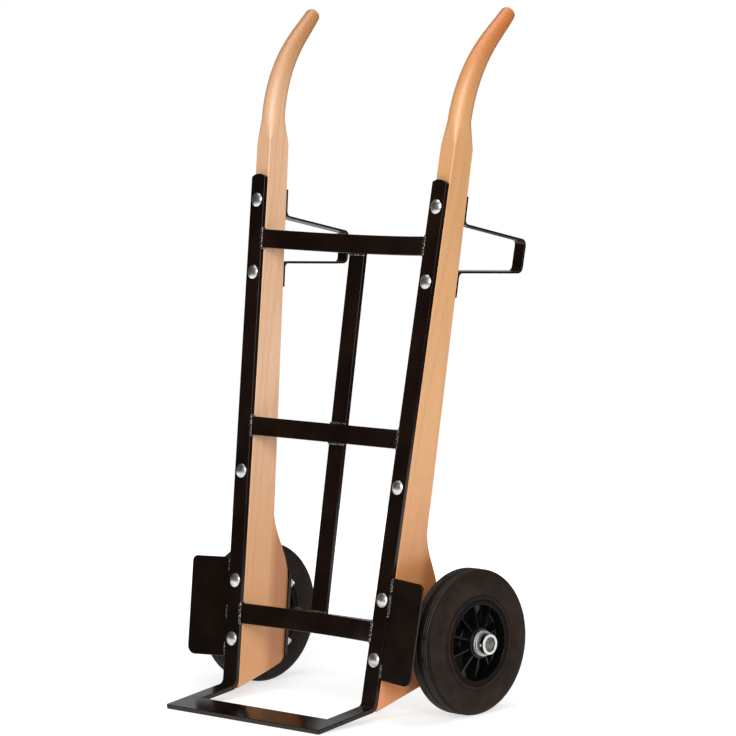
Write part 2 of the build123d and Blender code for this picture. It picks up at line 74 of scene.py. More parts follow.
class Slot(Enum):
    """The material slots."""

    WOOD = "wood"
    IRON = "black_iron"
    ZINC = "zinc"
    RUBBER = "tyre_rubber"
    PLASTIC = "black_plastic"


class Pick(Enum):
    """What a selection in edit mode is made of."""

    VERT = "verts"
    EDGE = "edges"


class Link:
    """A node's output, which adds Math nodes when it stands in an expression."""

    def __init__(self, tree: bpy.types.NodeTree, socket: bpy.types.NodeSocket) -> None:
        """Keeps the socket and the tree that it is in."""
        self.tree = tree
        self.socket = socket

    def _math(self, operation: str, first: Value, second: Value = 0.0) -> "Link":
        """Adds one Math node.

        Args:
            operation: the node's operation.
            first: its first number or link.
            second: its second number or link.

        Returns:
            The node's result.
        """
        node = self.tree.nodes.new("ShaderNodeMath")
        node.operation = operation
        for socket, value in zip(node.inputs, (first, second)):
            plug(self.tree, socket, value)
        return Link(self.tree, node.outputs[0])

    def __add__(self, other: Value) -> "Link":
        """Sum."""
        return self._math("ADD", self, other)

    def __radd__(self, other: Value) -> "Link":
        """Sum with a number on the left."""
        return self._math("ADD", other, self)

    def __sub__(self, other: Value) -> "Link":
        """Difference."""
        return self._math("SUBTRACT", self, other)

    def __rsub__(self, other: Value) -> "Link":
        """Difference from a number on the left."""
        return self._math("SUBTRACT", other, self)

    def __mul__(self, other: Value) -> "Link":
        """Product."""
        return self._math("MULTIPLY", self, other)

    def __rmul__(self, other: Value) -> "Link":
        """Product with a number on the left."""
        return self._math("MULTIPLY", other, self)

    def sine(self) -> "Link":
        """Sine of the value in radians."""
        return self._math("SINE", self)

    def size(self) -> "Link":
        """The value without its sign."""
        return self._math("ABSOLUTE", self)

    def positive(self) -> "Link":
        """The value, or 0 where it is negative."""
        return self._math("MAXIMUM", self)


def plug(tree: bpy.types.NodeTree, socket: bpy.types.NodeSocket, value: Any) -> None:
    """Links an output to a socket, or sets the socket's own value.

    Args:
        tree: the tree that the socket is in.
        socket: the socket.
        value: a link or a value, which for a colour has no alpha.
    """
    if isinstance(value, Link):
        tree.links.new(value.socket, socket)
    elif socket.type == "RGBA":
        socket.default_value = (*value, 1.0)
    else:
        socket.default_value = value


class Bench:
    """A node tree under construction."""

    def __init__(self, tree: bpy.types.NodeTree, output: str) -> None:
        """Clears a tree down to its output.

        Args:
            tree: the tree.
            output: the output's type without its ShaderNode prefix.
        """
        self.tree = tree
        self.tree.nodes.clear()
        self.output = self.tree.nodes.new("ShaderNode" + output)

    def node(self, kind: str, settings: Dict[str, Any], sockets: Dict[Key, Any], out: Key = 0) -> Link:
        """Adds a node.

        Args:
            kind: the node's type without its ShaderNode prefix.
            settings: its properties.
            sockets: its inputs by name or number, as values or links.
            out: the output that is wanted.

        Returns:
            That output.
        """
        made = self.tree.nodes.new("ShaderNode" + kind)
        for key, value in settings.items():
            setattr(made, key, value)
        for key, value in sockets.items():
            plug(self.tree, made.inputs[key], value)
        return Link(self.tree, made.outputs[out])

    def close(self, shader: Link) -> None:
        """Sends a shader to the output."""
        self.tree.links.new(shader.socket, self.output.inputs["Surface"])


class Paint(Bench):
    """A material under construction, with short names for the nodes it uses."""

    def __init__(self, name: str) -> None:
        """Starts a material with nothing but its output.

        Args:
            name: its name.
        """
        self.material = bpy.data.materials.new(name)
        self.material.use_nodes = True
        super().__init__(self.material.node_tree, "OutputMaterial")

    def place(self) -> Link:
        """The point on the object, in metres."""
        return self.node("TexCoord", {}, {}, "Object")

    def along(self, place: Link, direction: Triple) -> Link:
        """How far a point lies along a direction, in metres."""
        return self.node("VectorMath", {"operation": "DOT_PRODUCT"}, {0: place, 1: direction}, "Value")

    def out(self, place: Link) -> Link:
        """How far a point lies from the truck's middle plane, in metres."""
        return self.along(place, (1.0, 0.0, 0.0)).size()

    def length(self, place: Link) -> Link:
        """The length of a vector."""
        return self.node("VectorMath", {"operation": "LENGTH"}, {0: place}, "Value")

    def vector(self, x: Value, y: Value, z: Value) -> Link:
        """A vector from its three parts."""
        return self.node("CombineXYZ", {}, {0: x, 1: y, 2: z})

    def wheel_radius(self, place: Link, axle: Point) -> Link:
        """How far a point lies from an axle along X.

        Args:
            place: the point.
            axle: the axle's Y and Z.

        Returns:
            The distance in metres.
        """
        back = self.along(place, (0.0, 1.0, 0.0)) - axle[0]
        up = self.along(place, (0.0, 0.0, 1.0)) - axle[1]
        return self.length(self.vector(back, up, 0.0))

    def noise(self, place: Link, scale: Scale, detail: float = 2.0, rough: float = 0.5) -> Link:
        """Soft noise between 0 and 1.

        Args:
            place: where it is looked up.
            scale: lumps for each metre, one number or one for each axis.
            detail: how many finer layers it has.
            rough: how strong the finer layers are.

        Returns:
            The noise.
        """
        if isinstance(scale, tuple):
            place = self.node("VectorMath", {"operation": "MULTIPLY"}, {0: place, 1: scale})
            scale = 1.0
        sockets = {"Vector": place, "Scale": scale, "Detail": detail, "Roughness": rough}
        return self.node("TexNoise", {}, sockets, "Fac")

    def step(self, value: Link, low: float, high: float) -> Link:
        """A smooth rise from 0 at low to 1 at high."""
        sockets = {"Value": value, "From Min": low, "From Max": high}
        return self.node("MapRange", {"interpolation_type": "SMOOTHSTEP"}, sockets)

    def blend(self, factor: Value, first: Any, second: Any) -> Link:
        """A mix of two colours, with this much of the second."""
        sockets = {0: factor, 6: first, 7: second}
        return self.node("Mix", {"data_type": "RGBA", "blend_type": "MIX"}, sockets, 2)

    def bump(self, height: Link, distance: float) -> Link:
        """A normal bent by a height from 0 to 1 that is this many metres deep."""
        return self.node("Bump", {}, {"Height": height, "Distance": distance})

    def surface(self, *kinds: Dict[str, Any], share: Value = 0.0) -> Material:
        """Closes the material with a Principled surface, or with a mix of two.

        Args:
            kinds: each surface's inputs.
            share: how much of the second surface there is.

        Returns:
            The finished material.
        """
        shaders = [self.node("BsdfPrincipled", {}, sockets) for sockets in kinds]
        shader = shaders[0]
        if len(shaders) > 1:
            shader = self.node("MixShader", {}, {0: share, 1: shaders[0], 2: shaders[1]})
        self.close(shader)
        return self.material


@dataclass(frozen=True)
class Stance:
    """How the frame stands and where the axle lies, in metres and degrees."""

    lean: float = 9.2
    splay: float = 3.15
    heel_half: float = 0.1634
    frame_back: float = -0.111277
    bar_width: float = 0.032
    axle: Point = (0.051989, 0.123)

    @property
    def up(self) -> Vector:
        """Direction up the middle of the frame."""
        turn = math.radians(self.lean)
        return Vector((0.0, math.sin(turn), math.cos(turn)))

    @property
    def front(self) -> Vector:
        """Direction out of the frame's front."""
        return Vector((1.0, 0.0, 0.0)).cross(self.up)

    def stile_axes(self, side: Side) -> Matrix:
        """A stile's own axes.

        Args:
            side: which stile.

        Returns:
            A matrix that runs across the stile, up it and out of its front, from its foot on the floor.
        """
        turn = math.radians(self.splay) * side.value
        across = Vector((math.cos(turn), 0.0, 0.0)) - self.up * math.sin(turn)
        along = Vector((math.sin(turn), 0.0, 0.0)) + self.up * math.cos(turn)
        foot = Vector((side.value * self.heel_half, self.frame_back, 0.0))
        return columns(across, along, self.front, foot)

    def frame_axes(self) -> Matrix:
        """The frame's own axes: across it, up it and out of its front, from the middle of its foot."""
        return columns(Vector((1.0, 0.0, 0.0)), self.up, self.front, Vector((0.0, self.frame_back, 0.0)))

    def on_stile(self, side: Side, across: float, level: float, depth: float) -> Matrix:
        """A place on a stile, towards +X of its middle line, up it and behind its front."""
        return self.stile_axes(side) @ Matrix.Translation((across, level, -depth))

    def up_stile(self, level: float) -> float:
        """How far up a stile's inner edge a level of the frame lies."""
        turn = math.radians(self.splay)
        return (level - self.bar_width / 2 * math.sin(turn)) / math.cos(turn)

    def at_axle(self, side: Side, station: float) -> Matrix:
        """A place on the axle, this far out on a side."""
        return Matrix.Translation((side.value * station, *self.axle))

    def on_axle(self, side: Side, station: float) -> Matrix:
        """A place on the axle, turned with its Z outward."""
        return self.at_axle(side, station) @ Matrix.Rotation(side.value * math.pi / 2, 4, "Y")


def columns(across: Vector, upward: Vector, outward: Vector, place: Vector) -> Matrix:
    """A matrix from its three axes and its place."""
    parts = (across, upward, outward, place)
    return Matrix([[part[row] for part in parts] for row in range(3)]).to_4x4()


def towards(azimuth: float, elevation: float) -> Vector:
    """A direction from its azimuth, which is 0 at the front, and its elevation in degrees."""
    turn, tilt = math.radians(azimuth), math.radians(elevation)
    return Vector((math.sin(turn) * math.cos(tilt), -math.cos(turn) * math.cos(tilt), math.sin(tilt)))


def hold(*pieces: Piece) -> None:
    """Selects pieces alone.

    Args:
        pieces: the pieces, the active one first.
    """
    bpy.ops.object.select_all(action="DESELECT")
    for piece in pieces:
        piece.select_set(True)
    bpy.context.view_layer.objects.active = pieces[0]


@contextmanager
def editing(piece: Piece, pick: Pick) -> Iterator[None]:
    """Opens a piece in edit mode with nothing selected.

    Args:
        piece: the piece.
        pick: what is going to be selected.

    Returns:
        The context, which ends in object mode.
    """
    hold(piece)
    bpy.ops.object.mode_set(mode="EDIT")
    bpy.ops.mesh.select_mode(type=pick.name)
    bpy.ops.mesh.select_all(action="DESELECT")
    yield
    bpy.ops.object.mode_set(mode="OBJECT")


def choose(piece: Piece, pick: Pick, rule: Callable[[Any], bool]) -> None:
    """Selects in edit mode what a rule picks.

    Args:
        piece: the piece that is open.
        pick: what is selected.
        rule: tells whether a vertex or an edge is taken.
    """
    mesh = bmesh.from_edit_mesh(piece.data)
    for item in getattr(mesh, pick.value):
        item.select_set(rule(item))
    mesh.select_flush_mode()
    bmesh.update_edit_mesh(piece.data)


def runs_along(axis: int, reach: float) -> Callable[[Any], bool]:
    """A rule that takes the edges that reach further than this along an axis."""
    return lambda edge: abs(edge.verts[0].co[axis] - edge.verts[1].co[axis]) > reach


def modify(piece: Piece, kind: str, **settings: Any) -> None:
    """Gives a piece a modifier and applies it.

    Args:
        piece: the piece.
        kind: the modifier's type.
        settings: its properties.
    """
    modifier = piece.modifiers.new(kind.lower(), kind)
    for key, value in settings.items():
        setattr(modifier, key, value)
    hold(piece)
    bpy.ops.object.modifier_apply(modifier=modifier.name)


def smooth(piece: Piece, degrees: float) -> None:
    """Shades a piece smooth, apart from edges sharper than an angle."""
    hold(piece)
    bpy.ops.object.shade_smooth_by_angle(angle=math.radians(degrees), keep_sharp_edges=False)


def settle(piece: Piece, place: Matrix) -> Piece:
    """Moves a piece to its place and writes the place into its mesh.

    Args:
        piece: the piece, modelled at the origin.
        place: where it belongs.

    Returns:
        The piece.
    """
    piece.matrix_world = place
    hold(piece)
    bpy.ops.object.transform_apply(location=True, rotation=True, scale=True)
    return piece


def started(name: str, operator: Callable[..., Any], **options: Any) -> Piece:
    """Starts a piece from one of Blender's plain shapes.

    Args:
        name: its name.
        operator: the operator that adds the shape.
        options: the operator's options.

    Returns:
        The piece, at the origin.
    """
    bpy.ops.object.select_all(action="DESELECT")
    operator(**options)
    piece = bpy.context.object
    piece.name = name
    return piece


def block(name: str, size: Triple, place: Triple) -> Piece:
    """A block from its lengths along the axes and its middle."""
    piece = started(name, bpy.ops.mesh.primitive_cube_add, size=1.0)
    return settle(piece, Matrix.LocRotScale(Vector(place), None, Vector(size)))


def copied(model: Piece, name: str, place: Matrix) -> Piece:
    """Copies a piece together with its mesh.

    Args:
        model: the piece.
        name: the copy's name.
        place: where the copy stands.

    Returns:
        The copy.
    """
    copy = bpy.data.objects.new(name, model.data.copy())
    bpy.context.scene.collection.objects.link(copy)
    return settle(copy, place)


def join(name: str, *pieces: Piece) -> Piece:
    """Joins pieces.

    Args:
        name: the joined piece's name.
        pieces: the pieces.

    Returns:
        The joined piece.
    """
    hold(*pieces)
    bpy.ops.object.join()
    pieces[0].name = name
    return pieces[0]


def gather(name: str, model: Piece, places: Sequence[Matrix]) -> Piece:
    """Copies a model to each place and joins the copies.

    Args:
        name: the joined piece's name.
        model: the piece that is copied, which then goes.
        places: where the copies stand.

    Returns:
        The joined piece.
    """
    made = [copied(model, name, place) for place in places]
    bpy.data.objects.remove(model)
    return join(name, *made)


def arc(middle: Point, radius: float, start: float, end: float, steps: int) -> List[Point]:
    """Points on an arc between two angles in degrees, with this many lengths."""
    turns = [math.radians(start + (end - start) * step / steps) for step in range(steps + 1)]
    return [(middle[0] + radius * math.cos(turn), middle[1] + radius * math.sin(turn)) for turn in turns]


def soften(corners: Sequence[Triple], steps: int = 4) -> List[Point]:
    """Rounds the corners of a profile.

    Args:
        corners: each corner's two coordinates and the reach of its round.
        steps: how many lengths a round has.

    Returns:
        The profile's points.
    """
    points: List[Point] = []
    for place, (x, y, reach) in enumerate(corners):
        here = Vector((x, y))
        if not reach:
            points.append((x, y))
            continue
        start = here + (Vector(corners[place - 1][:2]) - here).normalized() * reach
        end = here + (Vector(corners[place + 1][:2]) - here).normalized() * reach
        for step in range(steps + 1):
            share = step / steps
            spot = start * (1 - share) ** 2 + here * (2 * share * (1 - share)) + end * share**2
            points.append((spot.x, spot.y))
    return points


def mirrored(half: Sequence[Tuple[float, ...]]) -> List[Tuple[float, ...]]:
    """A whole profile from its upper half, the lower half running back to the start."""
    return [*half, *((radius, -height, *rest) for radius, height, *rest in reversed(half))]


def turned(name: str, profile: Sequence[Point], steps: int, crease: float = 35.0) -> Piece:
    """Turns a profile about the Z axis, as on a lathe.

    Args:
        name: the piece's name.
        profile: its points as radius and height, the first again at the end where it is a ring.
        steps: how many lengths a turn has.
        crease: edges sharper than this many degrees stay sharp.

    Returns:
        The turned piece.
    """
    piece = started(name, bpy.ops.mesh.primitive_plane_add, size=0.01)
    with editing(piece, Pick.VERT):
        bpy.ops.mesh.select_all(action="SELECT")
        bpy.ops.mesh.merge(type="CENTER")
        bpy.ops.transform.translate(value=(profile[0][0], 0.0, profile[0][1]))
        for before, after in zip(profile, profile[1:]):
            move = (after[0] - before[0], 0.0, after[1] - before[1])
            bpy.ops.mesh.extrude_vertices_move(TRANSFORM_OT_translate={"value": move})
        bpy.ops.mesh.select_all(action="SELECT")
        bpy.ops.mesh.spin(steps=steps, angle=2 * math.pi, center=(0.0, 0.0, 0.0), axis=(0.0, 0.0, 1.0))
        bpy.ops.mesh.select_all(action="SELECT")
        bpy.ops.mesh.remove_doubles(threshold=MERGE)
        bpy.ops.mesh.normals_make_consistent(inside=False)
    smooth(piece, crease)
    return piece


def ring(name: str, bore: float, radius: float, length: float, edge: float) -> Piece:
    """Turns a plain ring that stands on the XY plane.

    Args:
        name: its name.
        bore: the radius of its hole.
        radius: its outer radius.
        length: its height.
        edge: the round on its outer edges, twice that of its hole.

    Returns:
        The ring.
    """
    corners = [
        (bore, length / 2, 0.0),
        (bore, length, edge / 2),
        (radius, length, edge),
        (radius, 0.0, edge),
        (bore, 0.0, edge / 2),
        (bore, length / 2, 0.0),
    ]
    return turned(name, soften(corners, 3), 64)


def rod(name: str, radius: float, half: float, edge: float, steps: int) -> Piece:
    """Turns a rod with its middle at the origin, from half its length and the round on its ends."""
    return turned(name, soften(mirrored([(0.0, half, 0.0), (radius, half, edge)])), steps)


@dataclass
class SubAssembly:
    """Pieces that belong together; each kind models and dresses its own."""

    stance: Stance = field(default_factory=Stance)
    pieces: Dict[str, Piece] = field(default_factory=dict, init=False)

    def build(self) -> None:
        """Models the pieces."""
        raise NotImplementedError

    def dress(self) -> None:
        """Gives the pieces their finishes."""
        raise NotImplementedError

    def keep(self, piece: Piece, slot: Slot, nodes: Sequence[str] = (), body: str = "frame") -> None:
        """Hangs a finished piece on its body.

        Args:
            piece: the piece.
            slot: the material slot; not used.
            nodes: the CAD nodes that it stands for.
            body: the body that it moves with.
        """
        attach(piece, body)
        if nodes:
            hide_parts(*nodes)
        self.pieces[piece.name] = piece
        log.info("built %s: %d faces on %s", piece.name, len(piece.data.polygons), body)

    def coat(self, material: Material, *names: str) -> None:
        """Gives pieces a finish.

        Args:
            material: the finish.
            names: the pieces, or none for all of them.
        """
        for name in names or self.pieces:
            mesh = self.pieces[name].data
            mesh.materials.clear()
            mesh.materials.append(material)

    def eased(self, node: str, crease: float) -> Piece:
        """Copies a CAD node's shape and shades its small edges round.

        Args:
            node: the node.
            crease: edges sharper than this many degrees stay sharp.

        Returns:
            The copy.
        """
        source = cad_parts[node]
        piece = copied(source, f"smooth_{node}", source.matrix_world.copy())
        bpy.ops.mesh.customdata_custom_splitnormals_clear()
        with editing(piece, Pick.VERT):
            bpy.ops.mesh.select_all(action="SELECT")
            bpy.ops.mesh.remove_doubles(threshold=MERGE)
        smooth(piece, crease)
        modify(piece, "WEIGHTED_NORMAL", keep_sharp=True, weight=90)
        return piece


@dataclass(frozen=True)
class Beech:
    """Varnished beech with its grain along a shaft and painted shade on the back of the belly, in metres.
    """

    # Colours
    pale: Triple = (0.735, 0.405, 0.195)
    warm: Triple = (0.71, 0.365, 0.16)
    low: Triple = (0.62, 0.235, 0.070)
    foot: Triple = (0.76, 0.285, 0.108)
    # Painted shade: a darker colour on the back of the belly's lower inner side
    belly: Triple = (0.42, 0.135, 0.035)
    tip: Triple = (0.515, 0.155, 0.036)
    ring: Triple = (0.47, 0.225, 0.085)
    fleck: Triple = (0.30, 0.125, 0.045)
    # How strongly each colour covers the ones before it
    low_share: float = 0.95
    foot_share: float = 0.8
    belly_share: float = 0.8
    tip_share: float = 0.95
    ring_share: float = 0.16
    streak_share: float = 0.14
    fleck_share: float = 0.22
    # Levels and depths on the shaft where the colours change, and where the grain grows calmer
    low_span: Point = (0.10, 0.60)
    foot_span: Point = (0.07, 0.17)
    # The levels and depths of the painted shade on the belly
    belly_span: Point = (0.26, 0.36)
    belly_depths: Point = (0.066, 0.092)
    belly_wander: float = 0.012
    tip_span: Point = (0.99, 1.21)
    calm_span: Point = (0.96, 1.08)
    calm_share: float = 0.7
    # The grain, which follows the handle's bend, with the spans of noise that show
    bend_from: float = 1.008
    bend_rate: float = 2.24
    shift: Triple = (3.7, 2.22, 3.7)
    wander_scale: Triple = (9.0, 9.0, 1.3)
    wander_span: Point = (0.32, 0.68)
    heart: Point = (0.11, 0.05)
    heart_lean: float = 0.012
    ring_pitch: float = 0.0042
    ring_wander: float = 0.03
    ring_span: Point = (0.55, 1.0)
    streak_scale: Triple = (420.0, 420.0, 9.0)
    streak_span: Point = (0.45, 0.75)
    fleck_scale: Triple = (900.0, 900.0, 120.0)
    fleck_span: Point = (0.60, 0.72)
    fleck_depth: float = 0.5
    relief: float = 0.00003
    # The varnish
    roughness: float = 0.32
    streak_rough: float = 0.10
    fleck_rough: float = 0.08
    coat: float = 0.22
    coat_roughness: float = 0.16

    def material(self, name: str, axes: Matrix) -> Material:
        """Makes the wood of one shaft.

        Args:
            name: the material's name.
            axes: the shaft's own axes.

        Returns:
            The material.
        """
        paint = Paint(name)
        place = paint.place()
        origin = axes.col[3].xyz
        parts = [axes.col[column].xyz for column in range(3)]
        across, along, out = (paint.along(place, tuple(part)) - part.dot(origin) for part in parts)
        rise = (along - self.bend_from).positive()
        bent = out + rise * rise * self.bend_rate
        grain = paint.vector(*(part + shift for part, shift in zip((across, bent, along), self.shift)))
        wander = paint.noise(grain, self.wander_scale, detail=3.0)
        heart = paint.vector(across + self.heart[0], bent + self.heart[1], along * self.heart_lean)
        phase = (paint.length(heart) + wander * self.ring_wander) * (2 * math.pi / self.ring_pitch)
        streaks = paint.noise(grain, self.streak_scale, detail=3.0, rough=0.6)
        flecks = paint.step(paint.noise(grain, self.fleck_scale, detail=1.0), *self.fleck_span)
        calm = 1 - paint.step(along, *self.calm_span) * self.calm_share
        spans = (self.low_span, self.foot_span, self.belly_span)
        low, foot, belly = (1 - paint.step(along, *span) for span in spans)
        deep_shade = paint.step(wander * self.belly_wander - out, *self.belly_depths)
        tone = paint.blend(paint.step(wander, *self.wander_span), self.pale, self.warm)
        for cover, colour in (
            (low * self.low_share, self.low),
            (foot * self.foot_share, self.foot),
            # Painted shade on the back of the belly
            (belly * deep_shade * self.belly_share, self.belly),
            (paint.step(along, *self.tip_span) * self.tip_share, self.tip),
            (paint.step(phase.sine() * 0.5 + 0.5, *self.ring_span) * self.ring_share, self.ring),
            (paint.step(streaks, *self.streak_span) * calm * self.streak_share, self.ring),
            (flecks * calm * self.fleck_share, self.fleck),
        ):
            tone = paint.blend(cover, tone, colour)
        sockets = {
            "Base Color": tone,
            "Roughness": self.roughness + streaks * self.streak_rough + flecks * calm * self.fleck_rough,
            "Normal": paint.bump((streaks - flecks * self.fleck_depth) * calm, self.relief),
            "Coat Weight": calm * self.coat,
            "Coat Roughness": self.coat_roughness,
        }
        return paint.surface(sockets)


@dataclass(frozen=True)
class Enamel:
    """Gloss black paint on iron, faintly brown, rippled as from a dip and chipped where asked."""

    black: Triple = (0.0052, 0.0025, 0.0014)
    brown: Triple = (0.0112, 0.0050, 0.0026)
    steel: Triple = (0.72, 0.71, 0.70)
    roughness: float = 0.11
    cloud_rough: float = 0.08
    shine: float = 0.32
    chips: float = 0.0
    cloud_scale: float = 14.0
    cloud_span: Point = (0.35, 0.7)
    peel_scale: float = 380.0
    peel_share: float = 0.3
    sag_scale: float = 60.0
    ripple: float = 0.00009
    chip_scale: float = 520.0
    chip_span: Point = (0.56, 0.63)

    def material(self, name: str) -> Material:
        """Makes the paint.

        Args:
            name: the material's name.

        Returns:
            The material.
        """
        paint = Paint(name)
        place = paint.place()
        cloud = paint.noise(place, self.cloud_scale, detail=3.0)
        waves = paint.noise(place, self.peel_scale) * self.peel_share + paint.noise(place, self.sag_scale)
        tone = paint.blend(paint.step(cloud, *self.cloud_span), self.black, self.brown)
        sockets = {
            "Base Color": tone,
            "Roughness": self.roughness + cloud * self.cloud_rough,
            "Specular IOR Level": self.shine,
            "Normal": paint.bump(waves, self.ripple),
        }
        if self.chips:
            bare = paint.step(paint.noise(place, self.chip_scale, detail=1.0), *self.chip_span) * self.chips
            sockets["Base Color"] = paint.blend(bare, tone, self.steel)
            sockets["Metallic"] = bare
        return paint.surface(sockets)


@dataclass(frozen=True)
class Zinc:
    """Bright zinc plate, a little mottled."""

    bright: Triple = (0.78, 0.78, 0.77)
    dull: Triple = (0.56, 0.56, 0.55)
    roughness: float = 0.18
    mottle_rough: float = 0.14
    mottle_scale: float = 260.0
    mottle_span: Point = (0.35, 0.65)
    grit_scale: float = 1400.0
    grit: float = 0.00002

    def material(self, name: str) -> Material:
        """Makes the plate.

        Args:
            name: the material's name.

        Returns:
            The material.
        """
        paint = Paint(name)
        place = paint.place()
        mottle = paint.noise(place, self.mottle_scale, detail=3.0)
        sockets = {
            "Base Color": paint.blend(paint.step(mottle, *self.mottle_span), self.dull, self.bright),
            "Roughness": self.roughness + mottle * self.mottle_rough,
            "Metallic": 1.0,
            "Normal": paint.bump(paint.noise(place, self.grit_scale), self.grit),
        }
        return paint.surface(sockets)


@dataclass(frozen=True)
class PaintedAxle:
    """Black painted bar whose sawn ends turn to bare steel over a span along X, in metres."""

    black: Triple = (0.0085, 0.0065, 0.0055)
    steel: Triple = (0.30, 0.29, 0.27)
    dark_steel: Triple = (0.09, 0.085, 0.08)
    bare_span: Point = (0.2845, 0.2853)
    saw_scale: Triple = (300.0, 260.0, 520.0)
    saw_span: Point = (0.35, 0.65)
    saw_depth: float = 0.00008
    roughness: float = 0.3
    bare_rough: float = 0.2

    def material(self, name: str) -> Material:
        """Makes the finish.

        Args:
            name: the material's name.

        Returns:
            The material.
        """
        paint = Paint(name)
        place = paint.place()
        bare = paint.step(paint.out(place), *self.bare_span)
        saw = paint.noise(place, self.saw_scale, detail=3.0, rough=0.6)
        grey = paint.blend(paint.step(saw, *self.saw_span), self.dark_steel, self.steel)
        sockets = {
            "Base Color": paint.blend(bare, self.black, grey),
            "Roughness": self.roughness + bare * self.bare_rough,
            "Metallic": bare,
            "Normal": paint.bump(saw, self.saw_depth),
        }
        return paint.surface(sockets)


@dataclass(frozen=True)
class GroundCollar:
    """Collar whose side is coloured dark as painted shade and whose outer end turns to bright ground steel
    over a span along X, in metres.
    """

    # Painted shade: the collar's side is coloured dark in place of its dark reflections
    dark: Triple = (0.11, 0.105, 0.11)
    bright: Triple = (0.80, 0.80, 0.79)
    bright_span: Point = (0.2959, 0.2965)
    scuff_scale: float = 420.0
    roughness: float = 0.2
    bright_rough: float = 0.08
    scuff_rough: float = 0.12

    def material(self, name: str) -> Material:
        """Makes the finish.

        Args:
            name: the material's name.

        Returns:
            The material.
        """
        paint = Paint(name)
        place = paint.place()
        # Painted shade on the side, up to the bright outer end
        end = paint.step(paint.out(place), *self.bright_span)
        scuff = paint.noise(place, self.scuff_scale, detail=3.0)
        rough = self.roughness + end * self.bright_rough + scuff * self.scuff_rough
        tone = paint.blend(end, self.dark, self.bright)
        return paint.surface({"Base Color": tone, "Roughness": rough, "Metallic": 1.0})


@dataclass(frozen=True)
class Rubber:
    """Warm dark grey tyre rubber with a dusty bloom, painted shade in its side groove and dust with a
    painted highlight on its tread grooves' edges; the first three sizes are the wheel's, in metres.
    """

    half_track: float
    grooves: Triple
    side_groove: float
    dark: Triple = (0.0116, 0.0066, 0.0037)
    bloom: Triple = (0.0250, 0.0142, 0.0080)
    # The darker worn tread, also used as painted shade in the side groove
    worn: Triple = (0.0050, 0.0027, 0.0013)
    # Dust with a painted highlight along the tread grooves' edges
    dust: Triple = (0.16, 0.135, 0.11)
    cloud_scale: float = 38.0
    bloom_span: Point = (0.35, 0.7)
    tread_span: Point = (0.1165, 0.1205)
    sunk_span: Point = (0.0010, 0.0024)
    sunk_share: float = 0.75
    groove_span: Point = (0.0006, 0.0014)
    dust_span: Point = (0.25, 0.55)
    dust_share: float = 0.35
    pore_scale: float = 1500.0
    pore_depth: float = 0.00008
    roughness: float = 0.5
    cloud_rough: float = 0.2
    shine: float = 0.14

    def material(self, name: str, axle: Point) -> Material:
        """Makes the rubber.

        Args:
            name: the material's name.
            axle: the axle's Y and Z.

        Returns:
            The material.
        """
        paint = Paint(name)
        place = paint.place()
        cloud = paint.noise(place, self.cloud_scale, detail=4.0, rough=0.6)
        tone = paint.blend(paint.step(cloud, *self.bloom_span), self.dark, self.bloom)
        offset = (paint.out(place) - self.half_track).size()
        radius = paint.wheel_radius(place, axle)
        tread = paint.step(radius, *self.tread_span)
        # Painted shade: the side groove is darkened with the worn colour
        groove_shade = 1 - paint.step((radius - self.side_groove).size(), *self.sunk_span)
        tone = paint.blend(tread + groove_shade * self.sunk_share, tone, self.worn)
        # Dust and painted highlight: the tread grooves' edges are lightened
        edges = sum(1 - paint.step((offset - groove).size(), *self.groove_span) for groove in self.grooves)
        dusty_lit_edges = edges * tread * paint.step(cloud, *self.dust_span)
        sockets = {
            "Base Color": paint.blend(dusty_lit_edges * self.dust_share, tone, self.dust),
            "Roughness": self.roughness + cloud * self.cloud_rough,
            "Specular IOR Level": self.shine,
            "Normal": paint.bump(paint.noise(place, self.pore_scale), self.pore_depth),
        }
        return paint.surface(sockets)


@dataclass(frozen=True)
class Plastic:
    """Moulded black plastic with a fine spark texture, dull past a radius on the rim's face, in metres."""

    black: Triple = (0.0022, 0.0020, 0.0018)
    worn: Triple = (0.0048, 0.0044, 0.0040)
    rim: Triple = (0.0062, 0.0046, 0.0032)
    rim_span: Point = (0.0642, 0.0650)
    cloud_scale: float = 30.0
    spark_scale: float = 1800.0
    spark_depth: float = 0.00001
    roughness: float = 0.12
    cloud_rough: float = 0.06
    shine: float = 0.26
    rim_roughness: float = 0.45
    rim_shine: float = 0.06

    def material(self, name: str, axle: Point) -> Material:
        """Makes the plastic.

        Args:
            name: the material's name.
            axle: the axle's Y and Z.

        Returns:
            The material.
        """
        paint = Paint(name)
        place = paint.place()
        cloud = paint.noise(place, self.cloud_scale, detail=3.0)
        relief = paint.bump(paint.noise(place, self.spark_scale), self.spark_depth)
        gloss = {
            "Base Color": paint.blend(cloud, self.black, self.worn),
            "Roughness": self.roughness + cloud * self.cloud_rough,
            "Specular IOR Level": self.shine,
            "Normal": relief,
        }
        dull = {
            "Base Color": self.rim,
            "Roughness": self.rim_roughness,
            "Specular IOR Level": self.rim_shine,
            "Normal": relief,
        }
        face = paint.step(paint.wheel_radius(place, axle), *self.rim_span)
        return paint.surface(gloss, dull, share=face)


@dataclass
class Shafts(SubAssembly):
    """The two beech shafts with their handles."""

    crease: float = 40.0

    def build(self) -> None:
        """Shapes both shafts."""
        for node in (f"shaft_{side.word}" for side in Side):
            self.keep(self.eased(node, self.crease), Slot.WOOD, [node])

    def dress(self) -> None:
        """Gives each shaft its own cut of beech."""
        left = Beech(
            pale=(0.79, 0.505, 0.335),
            warm=(0.76, 0.455, 0.27),
            low=(0.66, 0.32, 0.13),
            foot=(0.61, 0.285, 0.117),
            tip=(0.45, 0.195, 0.066),
            tip_span=(1.0, 1.21),
            shift=(2.9, 1.74, 2.9),
        )
        for side, cut in ((Side.LEFT, left), (Side.RIGHT, Beech())):
            wood = cut.material(f"beech_{side.word}", self.stance.stile_axes(side))
            self.coat(wood, f"smooth_shaft_{side.word}")


